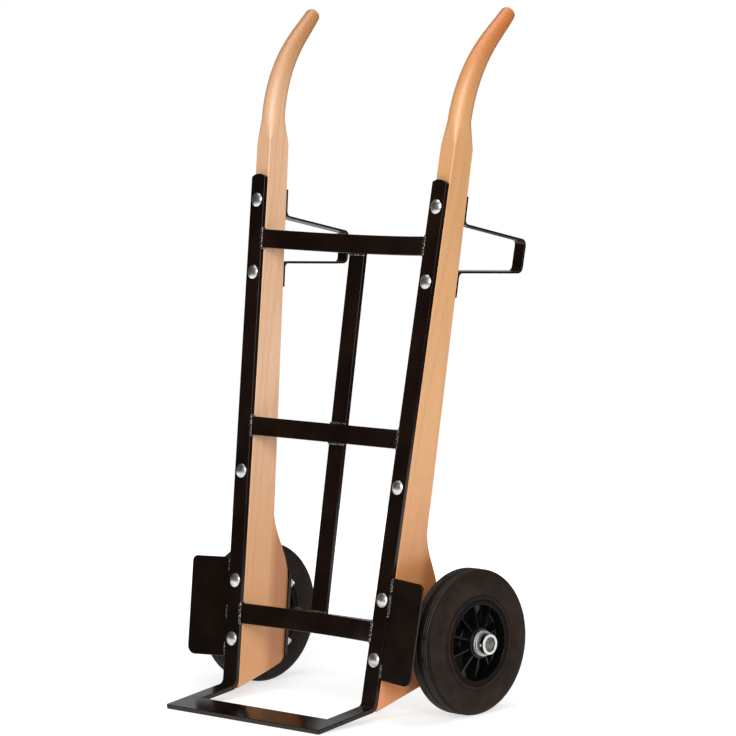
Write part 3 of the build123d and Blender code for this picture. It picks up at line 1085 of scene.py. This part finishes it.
@dataclass
class IronFrame(SubAssembly):
    """The flat iron bars, the guards, the rest legs and the axle brackets."""

    crease: float = 50.0

    def build(self) -> None:
        """Shapes every bar and plate."""
        single = ["toe_bar", "crossbar_top", "crossbar_middle", "crossbar_bottom", "centre_bar"]
        paired = ["stile", "wheel_guard", "rest_leg", "axle_bracket"]
        for node in single + [f"{kind}_{side.word}" for kind in paired for side in Side]:
            self.keep(self.eased(node, self.crease), Slot.IRON, [node])

    def dress(self) -> None:
        """Paints the ironwork."""
        self.coat(Enamel().material("black_enamel"))


@dataclass
class Welds(SubAssembly):
    """Rippled weld beads along the joints of the ironwork, in metres."""

    # One bead, made of overlapping waves
    bead_half: float = 0.0030
    bead_rise: float = 0.62
    wave_length: float = 0.72
    wave_lean: float = 0.3
    ripple: float = 0.0017
    voxel: float = 0.0005
    lump: float = 0.001
    lump_scale: float = 0.004
    end_length: float = 0.030
    corner_length: float = 0.008
    guard_length: float = 0.022
    # The ironwork that they lie on
    centre_bar: str = "smooth_centre_bar"
    centre_width: float = 0.035
    bar_bottoms: Triple = (0.780, 0.456, 0.1316)
    bar_widths: Triple = (0.032, 0.032, 0.035)
    bar_recess: float = 0.0004
    bar_thickness: float = 0.008
    clear: float = 0.0006
    ray_from: float = 0.1
    guard_edge: float = 0.0165
    guard_depth: float = 0.0015
    left_levels: Triple = (0.232, 0.150, 0.088)
    right_levels: Tuple[float, ...] = (0.232, 0.204, 0.190, 0.088)
    bracket_back: float = 0.1245
    bracket_width: float = 0.028
    saddle_half: float = 0.011
    axle_level: float = 0.14752

    def bead(self, name: str, length: float) -> Piece:
        """Models one bead along X with its middle at the origin.

        Args:
            name: its name.
            length: how long it is.

        Returns:
            The bead.
        """
        sphere = bpy.ops.mesh.primitive_uv_sphere_add
        piece = started(name, sphere, segments=20, ring_count=12, radius=self.bead_half)
        count = max(2, round(length / self.ripple))
        start = Vector((-self.ripple * (count - 1) / 2, 0.0, 0.0))
        settle(piece, Matrix.LocRotScale(start, None, Vector((self.wave_length, 1.0, self.bead_rise))))
        with editing(piece, Pick.VERT):
            choose(piece, Pick.VERT, lambda vert: vert.co.x > start.x)
            bpy.ops.transform.translate(value=(-self.wave_lean * self.ripple, 0.0, 0.0))
        modify(
            piece,
            "ARRAY",
            count=count,
            use_relative_offset=False,
            use_constant_offset=True,
            constant_offset_displace=(self.ripple, 0.0, 0.0),
        )
        modify(piece, "REMESH", mode="VOXEL", voxel_size=self.voxel)
        lumps = bpy.data.textures.new(f"{name}_lumps", "CLOUDS")
        lumps.noise_scale = self.lump_scale
        modify(piece, "DISPLACE", texture=lumps, texture_coords="LOCAL", strength=self.lump, mid_level=0.5)
        modify(piece, "SMOOTH", factor=0.5, iterations=2)
        smooth(piece, 180.0)
        return piece

    def bar_places(self) -> Tuple[List[Matrix], List[Matrix]]:
        """Where the beads lie at the crossbars' ends.

        Returns:
            The places up the ends, and those on the ends' corners.
        """
        upright = Matrix.Rotation(math.pi / 2, 4, "Z")
        inward = Matrix.Rotation(math.pi / 2, 4, "Y")
        depth = self.bar_recess + self.bar_thickness / 2
        stance = self.stance
        ends, corners = [], []
        for side in Side:
            inner = -side.value * stance.bar_width / 2
            for bottom, width in zip(self.bar_bottoms, self.bar_widths):
                low, middle, high = (stance.up_stile(bottom + share * width) for share in (0.0, 0.5, 1.0))
                ends.append(stance.on_stile(side, inner, middle, self.bar_recess) @ upright)
                corners += [stance.on_stile(side, inner, level, depth) @ inward for level in (low, high)]
        return ends, corners

    def guard_places(self) -> List[Matrix]:
        """Where the beads lie between the stiles and the guards.

        Returns:
            The places.
        """
        upright = Matrix.Rotation(math.pi / 2, 4, "Z")
        levels = {Side.LEFT: self.left_levels, Side.RIGHT: self.right_levels}
        return [
            self.stance.on_stile(side, side.value * self.guard_edge, level, self.guard_depth) @ upright
            for side in Side
            for level in levels[side]
        ]

    def centre_places(self) -> List[Matrix]:
        """Where the beads lie across the centre bar, along the crossbars' edges.

        Returns:
            The places, each on the front of the centre bar.
        """
        bar = bpy.data.objects[self.centre_bar]
        axes = self.stance.frame_axes()
        top, middle, bottom = zip(self.bar_bottoms, self.bar_widths)
        below = [low - self.clear for low, _ in (top, middle)]
        above = [low + width + self.clear for low, width in (middle, bottom)]
        places = []
        for level in (below[0], above[0], below[1], above[1]):
            found = bar.ray_cast(axes @ Vector((0.0, level, self.ray_from)), -self.stance.front)
            places.append(columns(*(axes.col[column].xyz for column in range(3)), found[1]))
        return places

    def boss_places(self) -> List[Matrix]:
        """Where the beads lie along the axle bosses, on the backs of the brackets.

        Returns:
            The places.
        """
        flip = Matrix.Rotation(math.pi, 4, "X")
        levels = [self.axle_level + edge * self.saddle_half for edge in (-1, 1)]
        return [
            self.stance.on_stile(side, 0.0, level, self.bracket_back) @ flip
            for side in Side
            for level in levels
        ]

    def build(self) -> None:
        """Lays the beads."""
        ends, corners = self.bar_places()
        seams = gather("end_welds", self.bead("end_bead", self.end_length), ends)
        tips = gather("corner_welds", self.bead("corner_bead", self.corner_length), corners)
        self.keep(join("crossbar_welds", seams, tips), Slot.IRON)
        for name, length, places in (
            ("guard_welds", self.guard_length, self.guard_places()),
            ("centre_bar_welds", self.centre_width, self.centre_places()),
            ("axle_boss_welds", self.bracket_width, self.boss_places()),
        ):
            self.keep(gather(name, self.bead(f"one_{name}", length), places), Slot.IRON)

    def dress(self) -> None:
        """Paints the beads as the iron round them, chipped to the steel."""
        self.coat(Enamel(roughness=0.1, shine=0.8, chips=0.6).material("weld_enamel"))


@dataclass
class CoachBolts(SubAssembly):
    """Domed coach bolts with their nuts and washers, in metres."""

    # The bolt's head, neck and thread
    head_radius: float = 0.012
    head_height: float = 0.005
    head_edge: float = 0.0008
    head_flat: float = 0.7
    head_round: float = 0.0004
    radius: float = 0.005
    neck: float = 0.006
    neck_round: float = 0.0004
    pitch: float = 0.0015
    thread_depth: float = 0.0008
    thread_root: Point = (0.45, 0.55)
    # The nut
    nut_half: float = 0.0085
    nut_height: float = 0.008
    nut_face: float = 0.97
    nut_chamfer: float = 0.0016
    nut_clear: float = 0.0004
    nut_rounds: Point = (0.0005, 0.0003)
    nut_crease: float = 28.0
    # The washers by radius, thickness and edge, their hole, and the rest legs' strip
    hole: float = 0.0053
    washer: Triple = (0.012, 0.002, 0.0005)
    rest_washer: Triple = (0.010, 0.004, 0.0006)
    rest_strip: float = 0.004
    # The bolts by level, length and thread, how deep their washers sit, and the slope of the shaft's back
    upper_rest: Triple = (0.8633, 0.06518, 0.006)
    lower_rest: Triple = (0.7377, 0.06846, 0.006)
    middle: Triple = (0.3932, 0.067455, 0.018)
    axle_levels: Point = (0.2044, 0.1039)
    axle_bolt: Point = (0.1425, 0.024)
    middle_seat: float = 0.056455
    axle_seat: float = 0.1245
    back_slope: float = 0.026108

    def bolt(self, name: str, length: float, thread: float) -> Piece:
        """Turns one bolt with its head's underside on the XY plane and its shank down.

        Args:
            name: its name.
            length: from the head's underside to the end.
            thread: how much of the shank is threaded.

        Returns:
            The bolt.
        """
        rim, shank, root = self.head_radius, self.radius, self.radius - self.thread_depth
        rise = self.head_height - self.head_edge
        dome = (rim**2 + rise**2) / (2 * rise)
        lowest = math.degrees(math.acos(rim / dome))
        profile = arc((0.0, self.head_height - dome), dome, 90.0, lowest, 12)
        profile[0] = (0.0, self.head_height)
        brim = (rim, self.head_edge * self.head_flat, 0.0)
        profile += soften([brim, (rim, 0.0, self.head_round), (shank, 0.0, 0.0)])
        for turn in range(round(thread / self.pitch)):
            low = -length + thread - turn * self.pitch
            profile += [(shank, low), *((root, low - self.pitch * share) for share in self.thread_root)]
        profile += [(shank, -length + self.thread_depth), (root, -length), (0.0, -length)]
        piece = turned(name, profile, 48)
        square = block(f"{name}_neck", (2 * shank, 2 * shank, self.neck), (0.0, 0.0, -self.neck / 2))
        with editing(square, Pick.EDGE):
            choose(square, Pick.EDGE, runs_along(2, self.neck / 2))
            bpy.ops.mesh.bevel(offset=self.neck_round, segments=2)
        return join(name, piece, square)

    def nut(self) -> Piece:
        """Cuts one hexagon nut whose front is on the XY plane and whose body runs down.

        Returns:
            The nut.
        """
        half, corner = self.nut_height / 2, self.nut_half / math.cos(math.pi / 6)
        cylinder = bpy.ops.mesh.primitive_cylinder_add
        piece = started("one_nut", cylinder, vertices=6, radius=corner, depth=2 * self.nut_height)
        upper = [
            (self.hole, 0.0, 0.0),
            (self.hole, half, self.nut_rounds[0]),
            (self.nut_half * self.nut_face, half, self.nut_rounds[1]),
            (corner + self.nut_clear, half - self.nut_chamfer, 0.0),
        ]
        shape = turned("nut_shape", soften(mirrored(upper)), 96)
        modify(piece, "BOOLEAN", operation="INTERSECT", object=shape, solver="EXACT")
        bpy.data.objects.remove(shape)
        smooth(piece, self.nut_crease)
        return settle(piece, Matrix.Translation((0.0, 0.0, -half)))

    def both(self, levels: Sequence[float], depth: float = 0.0) -> List[Matrix]:
        """Places on both stiles at these levels and a depth."""
        return [self.stance.on_stile(side, 0.0, level, depth) for side in Side for level in levels]

    def build(self) -> None:
        """Makes every bolt, nut and washer."""
        for node, levels, (length, thread) in (
            ("upper_rest_bolts", self.upper_rest[:1], self.upper_rest[1:]),
            ("lower_rest_bolts", self.lower_rest[:1], self.lower_rest[1:]),
            ("middle_bolts", self.middle[:1], self.middle[1:]),
            ("axle_bolts", self.axle_levels, self.axle_bolt),
        ):
            model = self.bolt(f"one_{node}", length, thread)
            self.keep(gather(f"turned_{node}", model, self.both(levels)), Slot.ZINC, [node])
        flip = Matrix.Rotation(math.pi, 4, "X")
        for word, levels, depth in (
            ("middle", self.middle[:1], self.middle_seat),
            ("axle", self.axle_levels, self.axle_seat),
        ):
            node = f"{word}_bolt_washers"
            places = [place @ flip for place in self.both(levels, depth)]
            model = ring("one_washer", self.hole, *self.washer)
            self.keep(gather(f"turned_{node}", model, places), Slot.ZINC, [node])
            node = f"{word}_bolt_nuts"
            places = self.both(levels, depth + self.washer[1])
            self.keep(gather(f"cut_{node}", self.nut(), places), Slot.ZINC, [node])
        self.keep(self.rest_washers(), Slot.ZINC, ["rest_washers"])

    def rest_washers(self) -> Piece:
        """Makes the thick washers that hold the rest legs clear of the wood.

        Returns:
            The four washers.
        """
        tilt = Matrix.Rotation(math.pi + math.atan(self.back_slope), 4, "X")
        seat = self.rest_washer[1] + self.rest_strip
        places = [
            self.stance.on_stile(side, 0.0, level, length - seat) @ tilt
            for side in Side
            for level, length, _ in (self.upper_rest, self.lower_rest)
        ]
        return gather("turned_rest_washers", ring("one_rest_washer", self.hole, *self.rest_washer), places)

    def dress(self) -> None:
        """Plates every bolt, nut and washer."""
        self.coat(Zinc(roughness=0.27).material("zinc_plate"))


@dataclass
class AxleSet(SubAssembly):
    """The axle and its cross pins, and rings by radius, station, length and edge, in metres."""

    radius: float = 0.0125
    half_length: float = 0.295599
    chamfer: float = 0.001
    bore: float = 0.0126
    spacer: Ring = (0.017, 0.211619, 0.00688, 0.0004)
    inner_washer: Ring = (0.0215, 0.2186, 0.004, 0.0008)
    outer_washers: Tuple[Ring, Ring] = ((0.0215, 0.2774, 0.004, 0.0014), (0.0215, 0.2815, 0.004, 0.0014))
    collar: Ring = (0.0175, 0.285597, 0.012, 0.0012)
    pin_radius: float = 0.0025
    pin_half: float = 0.020
    pin_station: float = 0.291599

    def build(self) -> None:
        """Turns the bar, the rings and the pins."""
        bar = rod("turned_axle", self.radius, self.half_length, self.chamfer, 64)
        self.keep(settle(bar, self.stance.on_axle(Side.RIGHT, 0.0)), Slot.IRON, ["axle"])
        for node, slot, kinds in (
            ("axle_spacers", Slot.IRON, [self.spacer]),
            ("inner_wheel_washers", Slot.ZINC, [self.inner_washer]),
            ("outer_wheel_washers", Slot.ZINC, self.outer_washers),
            ("axle_collars", Slot.ZINC, [self.collar]),
        ):
            made = []
            for radius, station, length, edge in kinds:
                model = ring(f"one_{node}", self.bore, radius, length, edge)
                places = [self.stance.on_axle(side, station) for side in Side]
                made.append(gather(f"turned_{node}", model, places))
            self.keep(join(f"turned_{node}", *made), slot, [node])
        pin = rod("one_pin", self.pin_radius, self.pin_half, self.chamfer, 32)
        level = Matrix.Rotation(math.pi / 2, 4, "X")
        places = [self.stance.at_axle(side, self.pin_station) @ level for side in Side]
        self.keep(gather("turned_axle_pins", pin, places), Slot.ZINC, ["axle_pins"])

    def dress(self) -> None:
        """Plates everything dull, then paints the bar and the spacers, and gives the collars ground ends
        and painted shade on their sides.
        """
        dull = Zinc(bright=(0.62, 0.61, 0.61), dull=(0.46, 0.45, 0.45), roughness=0.5)
        self.coat(dull.material("dull_zinc"))
        self.coat(Enamel().material("spacer_enamel"), "turned_axle_spacers")
        self.coat(PaintedAxle().material("painted_axle"), "turned_axle")
        self.coat(GroundCollar().material("ground_collar"), "turned_axle_collars")


@dataclass
class Wheels(SubAssembly):
    """Both wheels: solid rubber tyres on moulded centres with steel bushes, in metres."""

    # The tyre's section
    half_track: float = 0.250
    radius: float = 0.12299
    half_width: float = 0.0235
    bulge: float = 0.0008
    bulge_round: float = 0.090
    bulge_radius: float = 0.098
    shoulder: float = 0.011
    shoulder_blend: float = 1.3
    shoulder_turn: float = 76.0
    crown: float = 0.00025
    crown_half: float = 0.0003
    seat: float = 0.069
    seat_half: float = 0.020
    seat_round: float = 0.0004
    bead: float = 0.073
    bead_rounds: Point = (0.0006, 0.0002)
    tyre_crease: float = 50.0
    # Its grooves and the raised ring on its side
    groove: float = 0.0016
    grooves: Triple = (0.007, 0.011, 0.015)
    groove_reach: float = 0.75
    groove_lip: float = 0.7
    groove_floor: float = 0.5
    groove_rounds: Point = (0.00025, 0.0003)
    tread_share: float = 0.9
    ring_radius: float = 0.075
    ring_half: float = 0.0015
    ring_height: float = 0.001
    ring_flare: float = 1.4
    ring_rounds: Point = (0.0005, 0.0006)
    side_groove: float = 0.0795
    side_groove_half: float = 0.0015
    side_groove_depth: float = 0.0008
    side_groove_floor: float = 0.6
    side_groove_flare: float = 1.6
    fine_round: float = 0.0003
    # The centre with its hub, web, rim and ribs
    hub: float = 0.026
    hub_half: float = 0.027
    hub_bore: float = 0.01605
    hub_draft: float = 0.0006
    hub_rounds: Point = (0.0005, 0.0015)
    web_half: float = 0.003
    web_round: float = 0.0030
    rim_inner: float = 0.064
    rim_half: float = 0.02305
    rim_draft: float = 0.0004
    rim_round: float = 0.0008
    lip: float = 0.0724
    fit: float = 0.00005
    rib_count: int = 10
    rib_thickness: float = 0.003
    rib_hub_reach: float = 0.023
    rib_rim_reach: float = 0.012
    rib_roots: Point = (0.003, 0.002)
    rib_round: float = 0.0009
    centre_crease: float = 40.0
    # The bush
    bush_bore: float = 0.01255
    bush_radius: float = 0.016
    bush_edge: float = 0.0006

    @property
    def groove_edge(self) -> float:
        """The radius where the side groove runs out into the bulged side."""
        return self.side_groove + self.side_groove_flare * self.side_groove_half

    def tread(self) -> List[Point]:
        """The tyre's outer half from its side groove over the shoulder to the middle of the tread.

        Returns:
            Points as radius and offset from the wheel's middle plane.
        """
        waist = self.half_width + self.bulge - self.bulge_round
        ends = (self.groove_edge, self.radius - self.shoulder_blend * self.shoulder)
        angles = [math.degrees(math.acos((end - self.bulge_radius) / self.bulge_round)) for end in ends]
        points = arc((self.bulge_radius, waist), self.bulge_round, *angles, 10)
        middle = (self.radius - self.crown - self.shoulder, self.half_width - self.shoulder)
        points += arc(middle, self.shoulder, self.shoulder_turn, 0.0, 14)
        points += [(self.radius - self.crown, 2 * self.crown_half), (self.radius, self.crown_half)]
        for place in self.grooves:
            points = self.cut(points, place)
        return points

    def cut(self, points: List[Point], place: float) -> List[Point]:
        """Sinks a round-edged groove into the tread.

        Args:
            points: the profile from the side to the middle.
            place: the groove's offset from the middle plane.

        Returns:
            The profile with the groove.
        """
        reach, inside = self.groove * self.groove_reach, self.radius * self.tread_share
        before = [point for point in points if point[1] > place + reach or point[0] < inside]
        after = [point for point in points if point[1] < place - reach and point[0] > inside]
        first, last = before[-1][0], after[0][0]
        top = (first + last) / 2 if place > self.half_width - self.shoulder else first
        floor = self.radius - self.groove
        lip, bed = reach * self.groove_lip, reach * self.groove_floor
        lip_round, bed_round = self.groove_rounds
        corners = [
            (first, place + reach, 0.0),
            (top, place + lip, lip_round),
            (floor, place + bed, bed_round),
            (floor, place - bed, bed_round),
            (top, place - lip, lip_round),
            (last, place - reach, 0.0),
        ]
        return before + soften(corners, 3)[1:-1] + after

    def tyre(self) -> Piece:
        """Turns the tyre.

        Returns:
            The tyre, with its axis along Z.
        """
        face = self.half_width
        top, floor = face + self.ring_height, face - self.side_groove_depth
        bed = self.side_groove_floor * self.side_groove_half
        wall = [
            (self.seat, 0.0, 0.0),
            (self.seat, self.seat_half, self.seat_round),
            (self.bead, self.seat_half, self.bead_rounds[0]),
            (self.bead, face, self.bead_rounds[1]),
            (self.ring_radius - self.ring_half, top, self.ring_rounds[0]),
            (self.ring_radius + self.ring_half, top, self.ring_rounds[1]),
            (self.ring_radius + self.ring_flare * self.ring_half, face, self.fine_round),
            (self.side_groove - self.side_groove_half, face, self.fine_round),
            (self.side_groove - bed, floor, self.fine_round),
            (self.side_groove + bed, floor, self.fine_round),
            (self.groove_edge, face, 0.0),
        ]
        half = soften(wall)[:-1] + self.tread()
        return turned("one_tyre", mirrored(half), 144, self.tyre_crease)

    def rib(self) -> Piece:
        """Shapes one rib along X, tapered from the hub to the rim.

        Returns:
            The rib.
        """
        start, end = self.hub - self.rib_roots[0], self.rim_inner + self.rib_roots[1]
        middle, length = (start + end) / 2, end - start
        piece = block("one_rib", (length, self.rib_thickness, 2 * self.rib_hub_reach), (middle, 0.0, 0.0))
        with editing(piece, Pick.VERT):
            choose(piece, Pick.VERT, lambda vert: vert.co.x > middle)
            taper = self.rib_rim_reach / self.rib_hub_reach
            bpy.ops.transform.resize(value=(1.0, 1.0, taper), center_override=(0.0, 0.0, 0.0))
        with editing(piece, Pick.EDGE):
            choose(piece, Pick.EDGE, runs_along(0, length / 2))
            bpy.ops.mesh.bevel(offset=self.rib_round, segments=3)
        smooth(piece, self.centre_crease)
        return piece

    def centre(self) -> Piece:
        """Turns the moulded centre and sets its ribs.

        Returns:
            The centre, with its axis along Z.
        """
        shelf = self.seat_half + self.fit
        half = [
            (self.hub_bore, 0.0, 0.0),
            (self.hub_bore, self.hub_half, self.hub_rounds[0]),
            (self.hub, self.hub_half, self.hub_rounds[1]),
            (self.hub + self.hub_draft, self.web_half, self.web_round),
            (self.rim_inner - self.rim_draft, self.web_half, self.web_round),
            (self.rim_inner, self.rim_half, self.rim_round),
            (self.lip, self.rim_half, self.rim_round),
            (self.lip, shelf, self.fine_round),
            (self.seat - self.fit, shelf, 0.0),
        ]
        body = turned("one_centre", soften(mirrored(half)), 120, self.centre_crease)
        angles = [2 * math.pi * spoke / self.rib_count for spoke in range(self.rib_count)]
        turns = [Matrix.Rotation(angle, 4, "Z") for angle in angles]
        return join("one_centre", body, gather("ribs", self.rib(), turns))

    def bush(self) -> Piece:
        """Turns the steel bush of the hub."""
        sleeve = ring("one_bush", self.bush_bore, self.bush_radius, 2 * self.hub_half, self.bush_edge)
        return settle(sleeve, Matrix.Translation((0.0, 0.0, -self.hub_half)))

    def build(self) -> None:
        """Models each piece once and copies it to both wheels."""
        models = (
            (self.tyre(), "turned_tyre", Slot.RUBBER, "tyre"),
            (self.centre(), "ribbed_centre", Slot.PLASTIC, "wheel_centre"),
            (self.bush(), "turned_bush", Slot.ZINC, "hub_bush"),
        )
        for side in Side:
            for model, name, slot, node in models:
                piece = copied(model, f"{name}_{side.word}", self.stance.on_axle(side, self.half_track))
                self.keep(piece, slot, [f"{node}_{side.word}"], f"{side.word}_wheel")
        for model, *_ in models:
            bpy.data.objects.remove(model)

    def dress(self) -> None:
        """Gives the tyres, the centres and the bushes their finishes."""
        axle = self.stance.axle
        rubber = Rubber(self.half_track, self.grooves, self.side_groove)
        for name, finish in (
            ("turned_tyre", rubber.material("tyre_rubber", axle)),
            ("ribbed_centre", Plastic().material("wheel_plastic", axle)),
            ("turned_bush", Zinc().material("bush_steel")),
        ):
            self.coat(finish, *(f"{name}_{side.word}" for side in Side))


@dataclass(frozen=True)
class Panel:
    """A soft lamp: its direction in degrees, its distance and size in metres, and its radiance."""

    name: str
    azimuth: float
    elevation: float
    distance: float
    width: float
    height: float
    radiance: float

    def hang(self, aim: Vector) -> None:
        """Hangs the lamp facing a point.

        Args:
            aim: the point.
        """
        away = towards(self.azimuth, self.elevation)
        data = bpy.data.lights.new(self.name, "AREA")
        data.shape = "RECTANGLE"
        data.size = self.width
        data.size_y = self.height
        data.energy = self.radiance * math.pi * self.width * self.height
        lamp = bpy.data.objects.new(self.name, data)
        lamp.location = aim + away * self.distance
        lamp.rotation_euler = (-away).to_track_quat("-Z", "Y").to_euler()
        lamp.visible_camera = False
        bpy.context.scene.collection.objects.link(lamp)


@dataclass
class Studio:
    """The camera, the lights, the floor and the white round them, in metres and degrees."""

    eye: Triple = (4.473832, -4.589491, 1.209916)
    azimuth: float = 43.7855
    elevation: float = 5.689
    roll: float = -0.8549
    focal_pixels: float = 3796.325
    picture_pixels: float = 736.0
    sensor: float = 36.0
    clip_end: float = 200.0
    floor_radius: float = 2.4
    floor_tones: Point = (0.46, 0.48)
    floor_scale: float = 3.0
    floor_roughness: float = 0.8
    # The dimmer glow in the middle is painted shade round the truck
    floor_glow: float = 0.66
    edge_glow: float = 1.05
    glow_reach: Point = (0.6, 1.6)
    surround: float = 0.05
    aim: float = 0.65
    panels: Tuple[Panel, ...] = (
        Panel("front_panel", 46.0, 24.0, 5.0, 3.8, 3.2, 6.2),
        Panel("top_panel", 0.0, 88.0, 3.6, 3.2, 3.2, 3.0),
        Panel("back_panel", 168.0, 42.0, 4.6, 2.4, 2.0, 2.2),
        Panel("left_panel", -134.0, 17.0, 4.5, 3.0, 2.4, 0.6),
    )

    def place_camera(self) -> None:
        """Sets the camera at the photograph's viewpoint."""
        data = bpy.data.cameras.new("view")
        data.sensor_width = self.sensor
        data.lens = self.focal_pixels * self.sensor / self.picture_pixels
        data.clip_end = self.clip_end
        camera = bpy.data.objects.new("view", data)
        bpy.context.scene.collection.objects.link(camera)
        away = towards(self.azimuth, self.elevation)
        right = towards(self.azimuth + 90.0, 0.0)
        top = away.cross(right)
        roll = math.radians(self.roll)
        across = right * math.cos(roll) + top * math.sin(roll)
        upward = top * math.cos(roll) - right * math.sin(roll)
        camera.matrix_world = columns(across, upward, away, Vector(self.eye))
        bpy.context.scene.camera = camera

    def lay_floor(self) -> None:
        """Lays the pale floor, which glows more towards its edge; its dimmer middle is painted shade round
        the truck and lets the cast shadows show.
        """
        circle = bpy.ops.mesh.primitive_circle_add
        floor = started("floor", circle, vertices=96, radius=self.floor_radius, fill_type="NGON")
        paint = Paint("pale_floor")
        place = paint.place()
        outward = paint.step(paint.length(place), *self.glow_reach)
        dim = (self.floor_glow / self.edge_glow,) * 3
        tones = [(tone,) * 3 for tone in self.floor_tones]
        sockets = {
            "Base Color": paint.blend(paint.noise(place, self.floor_scale), *tones),
            "Roughness": self.floor_roughness,
            "Emission Color": paint.blend(outward, dim, WHITE),
            "Emission Strength": self.edge_glow,
        }
        floor.data.materials.append(paint.surface(sockets))

    def light(self) -> None:
        """Hangs the lamps and sets the white surround, which is dimmer to everything but the camera."""
        for panel in self.panels:
            panel.hang(Vector((0.0, 0.0, self.aim)))
        world = bpy.data.worlds.new("white_room")
        bpy.context.scene.world = world
        world.use_nodes = True
        bench = Bench(world.node_tree, "OutputWorld")
        seen = bench.node("LightPath", {}, {}, "Is Camera Ray")
        dim, full = (
            bench.node("Background", {}, {"Color": WHITE, "Strength": strength})
            for strength in (self.surround, 1.0)
        )
        bench.close(bench.node("MixShader", {}, {0: seen, 1: dim, 2: full}))
        bpy.context.scene.view_settings.view_transform = "Standard"


def main() -> None:
    """Builds the truck's looks in order."""
    logging.basicConfig(level=logging.INFO, format="%(name)s: %(message)s")
    for part in (Shafts(), IronFrame(), Welds(), CoachBolts(), AxleSet(), Wheels()):
        part.build()
        part.dress()
    studio = Studio()
    studio.place_camera()
    studio.lay_floor()
    studio.light()


if __name__ == "__main__":
    main()
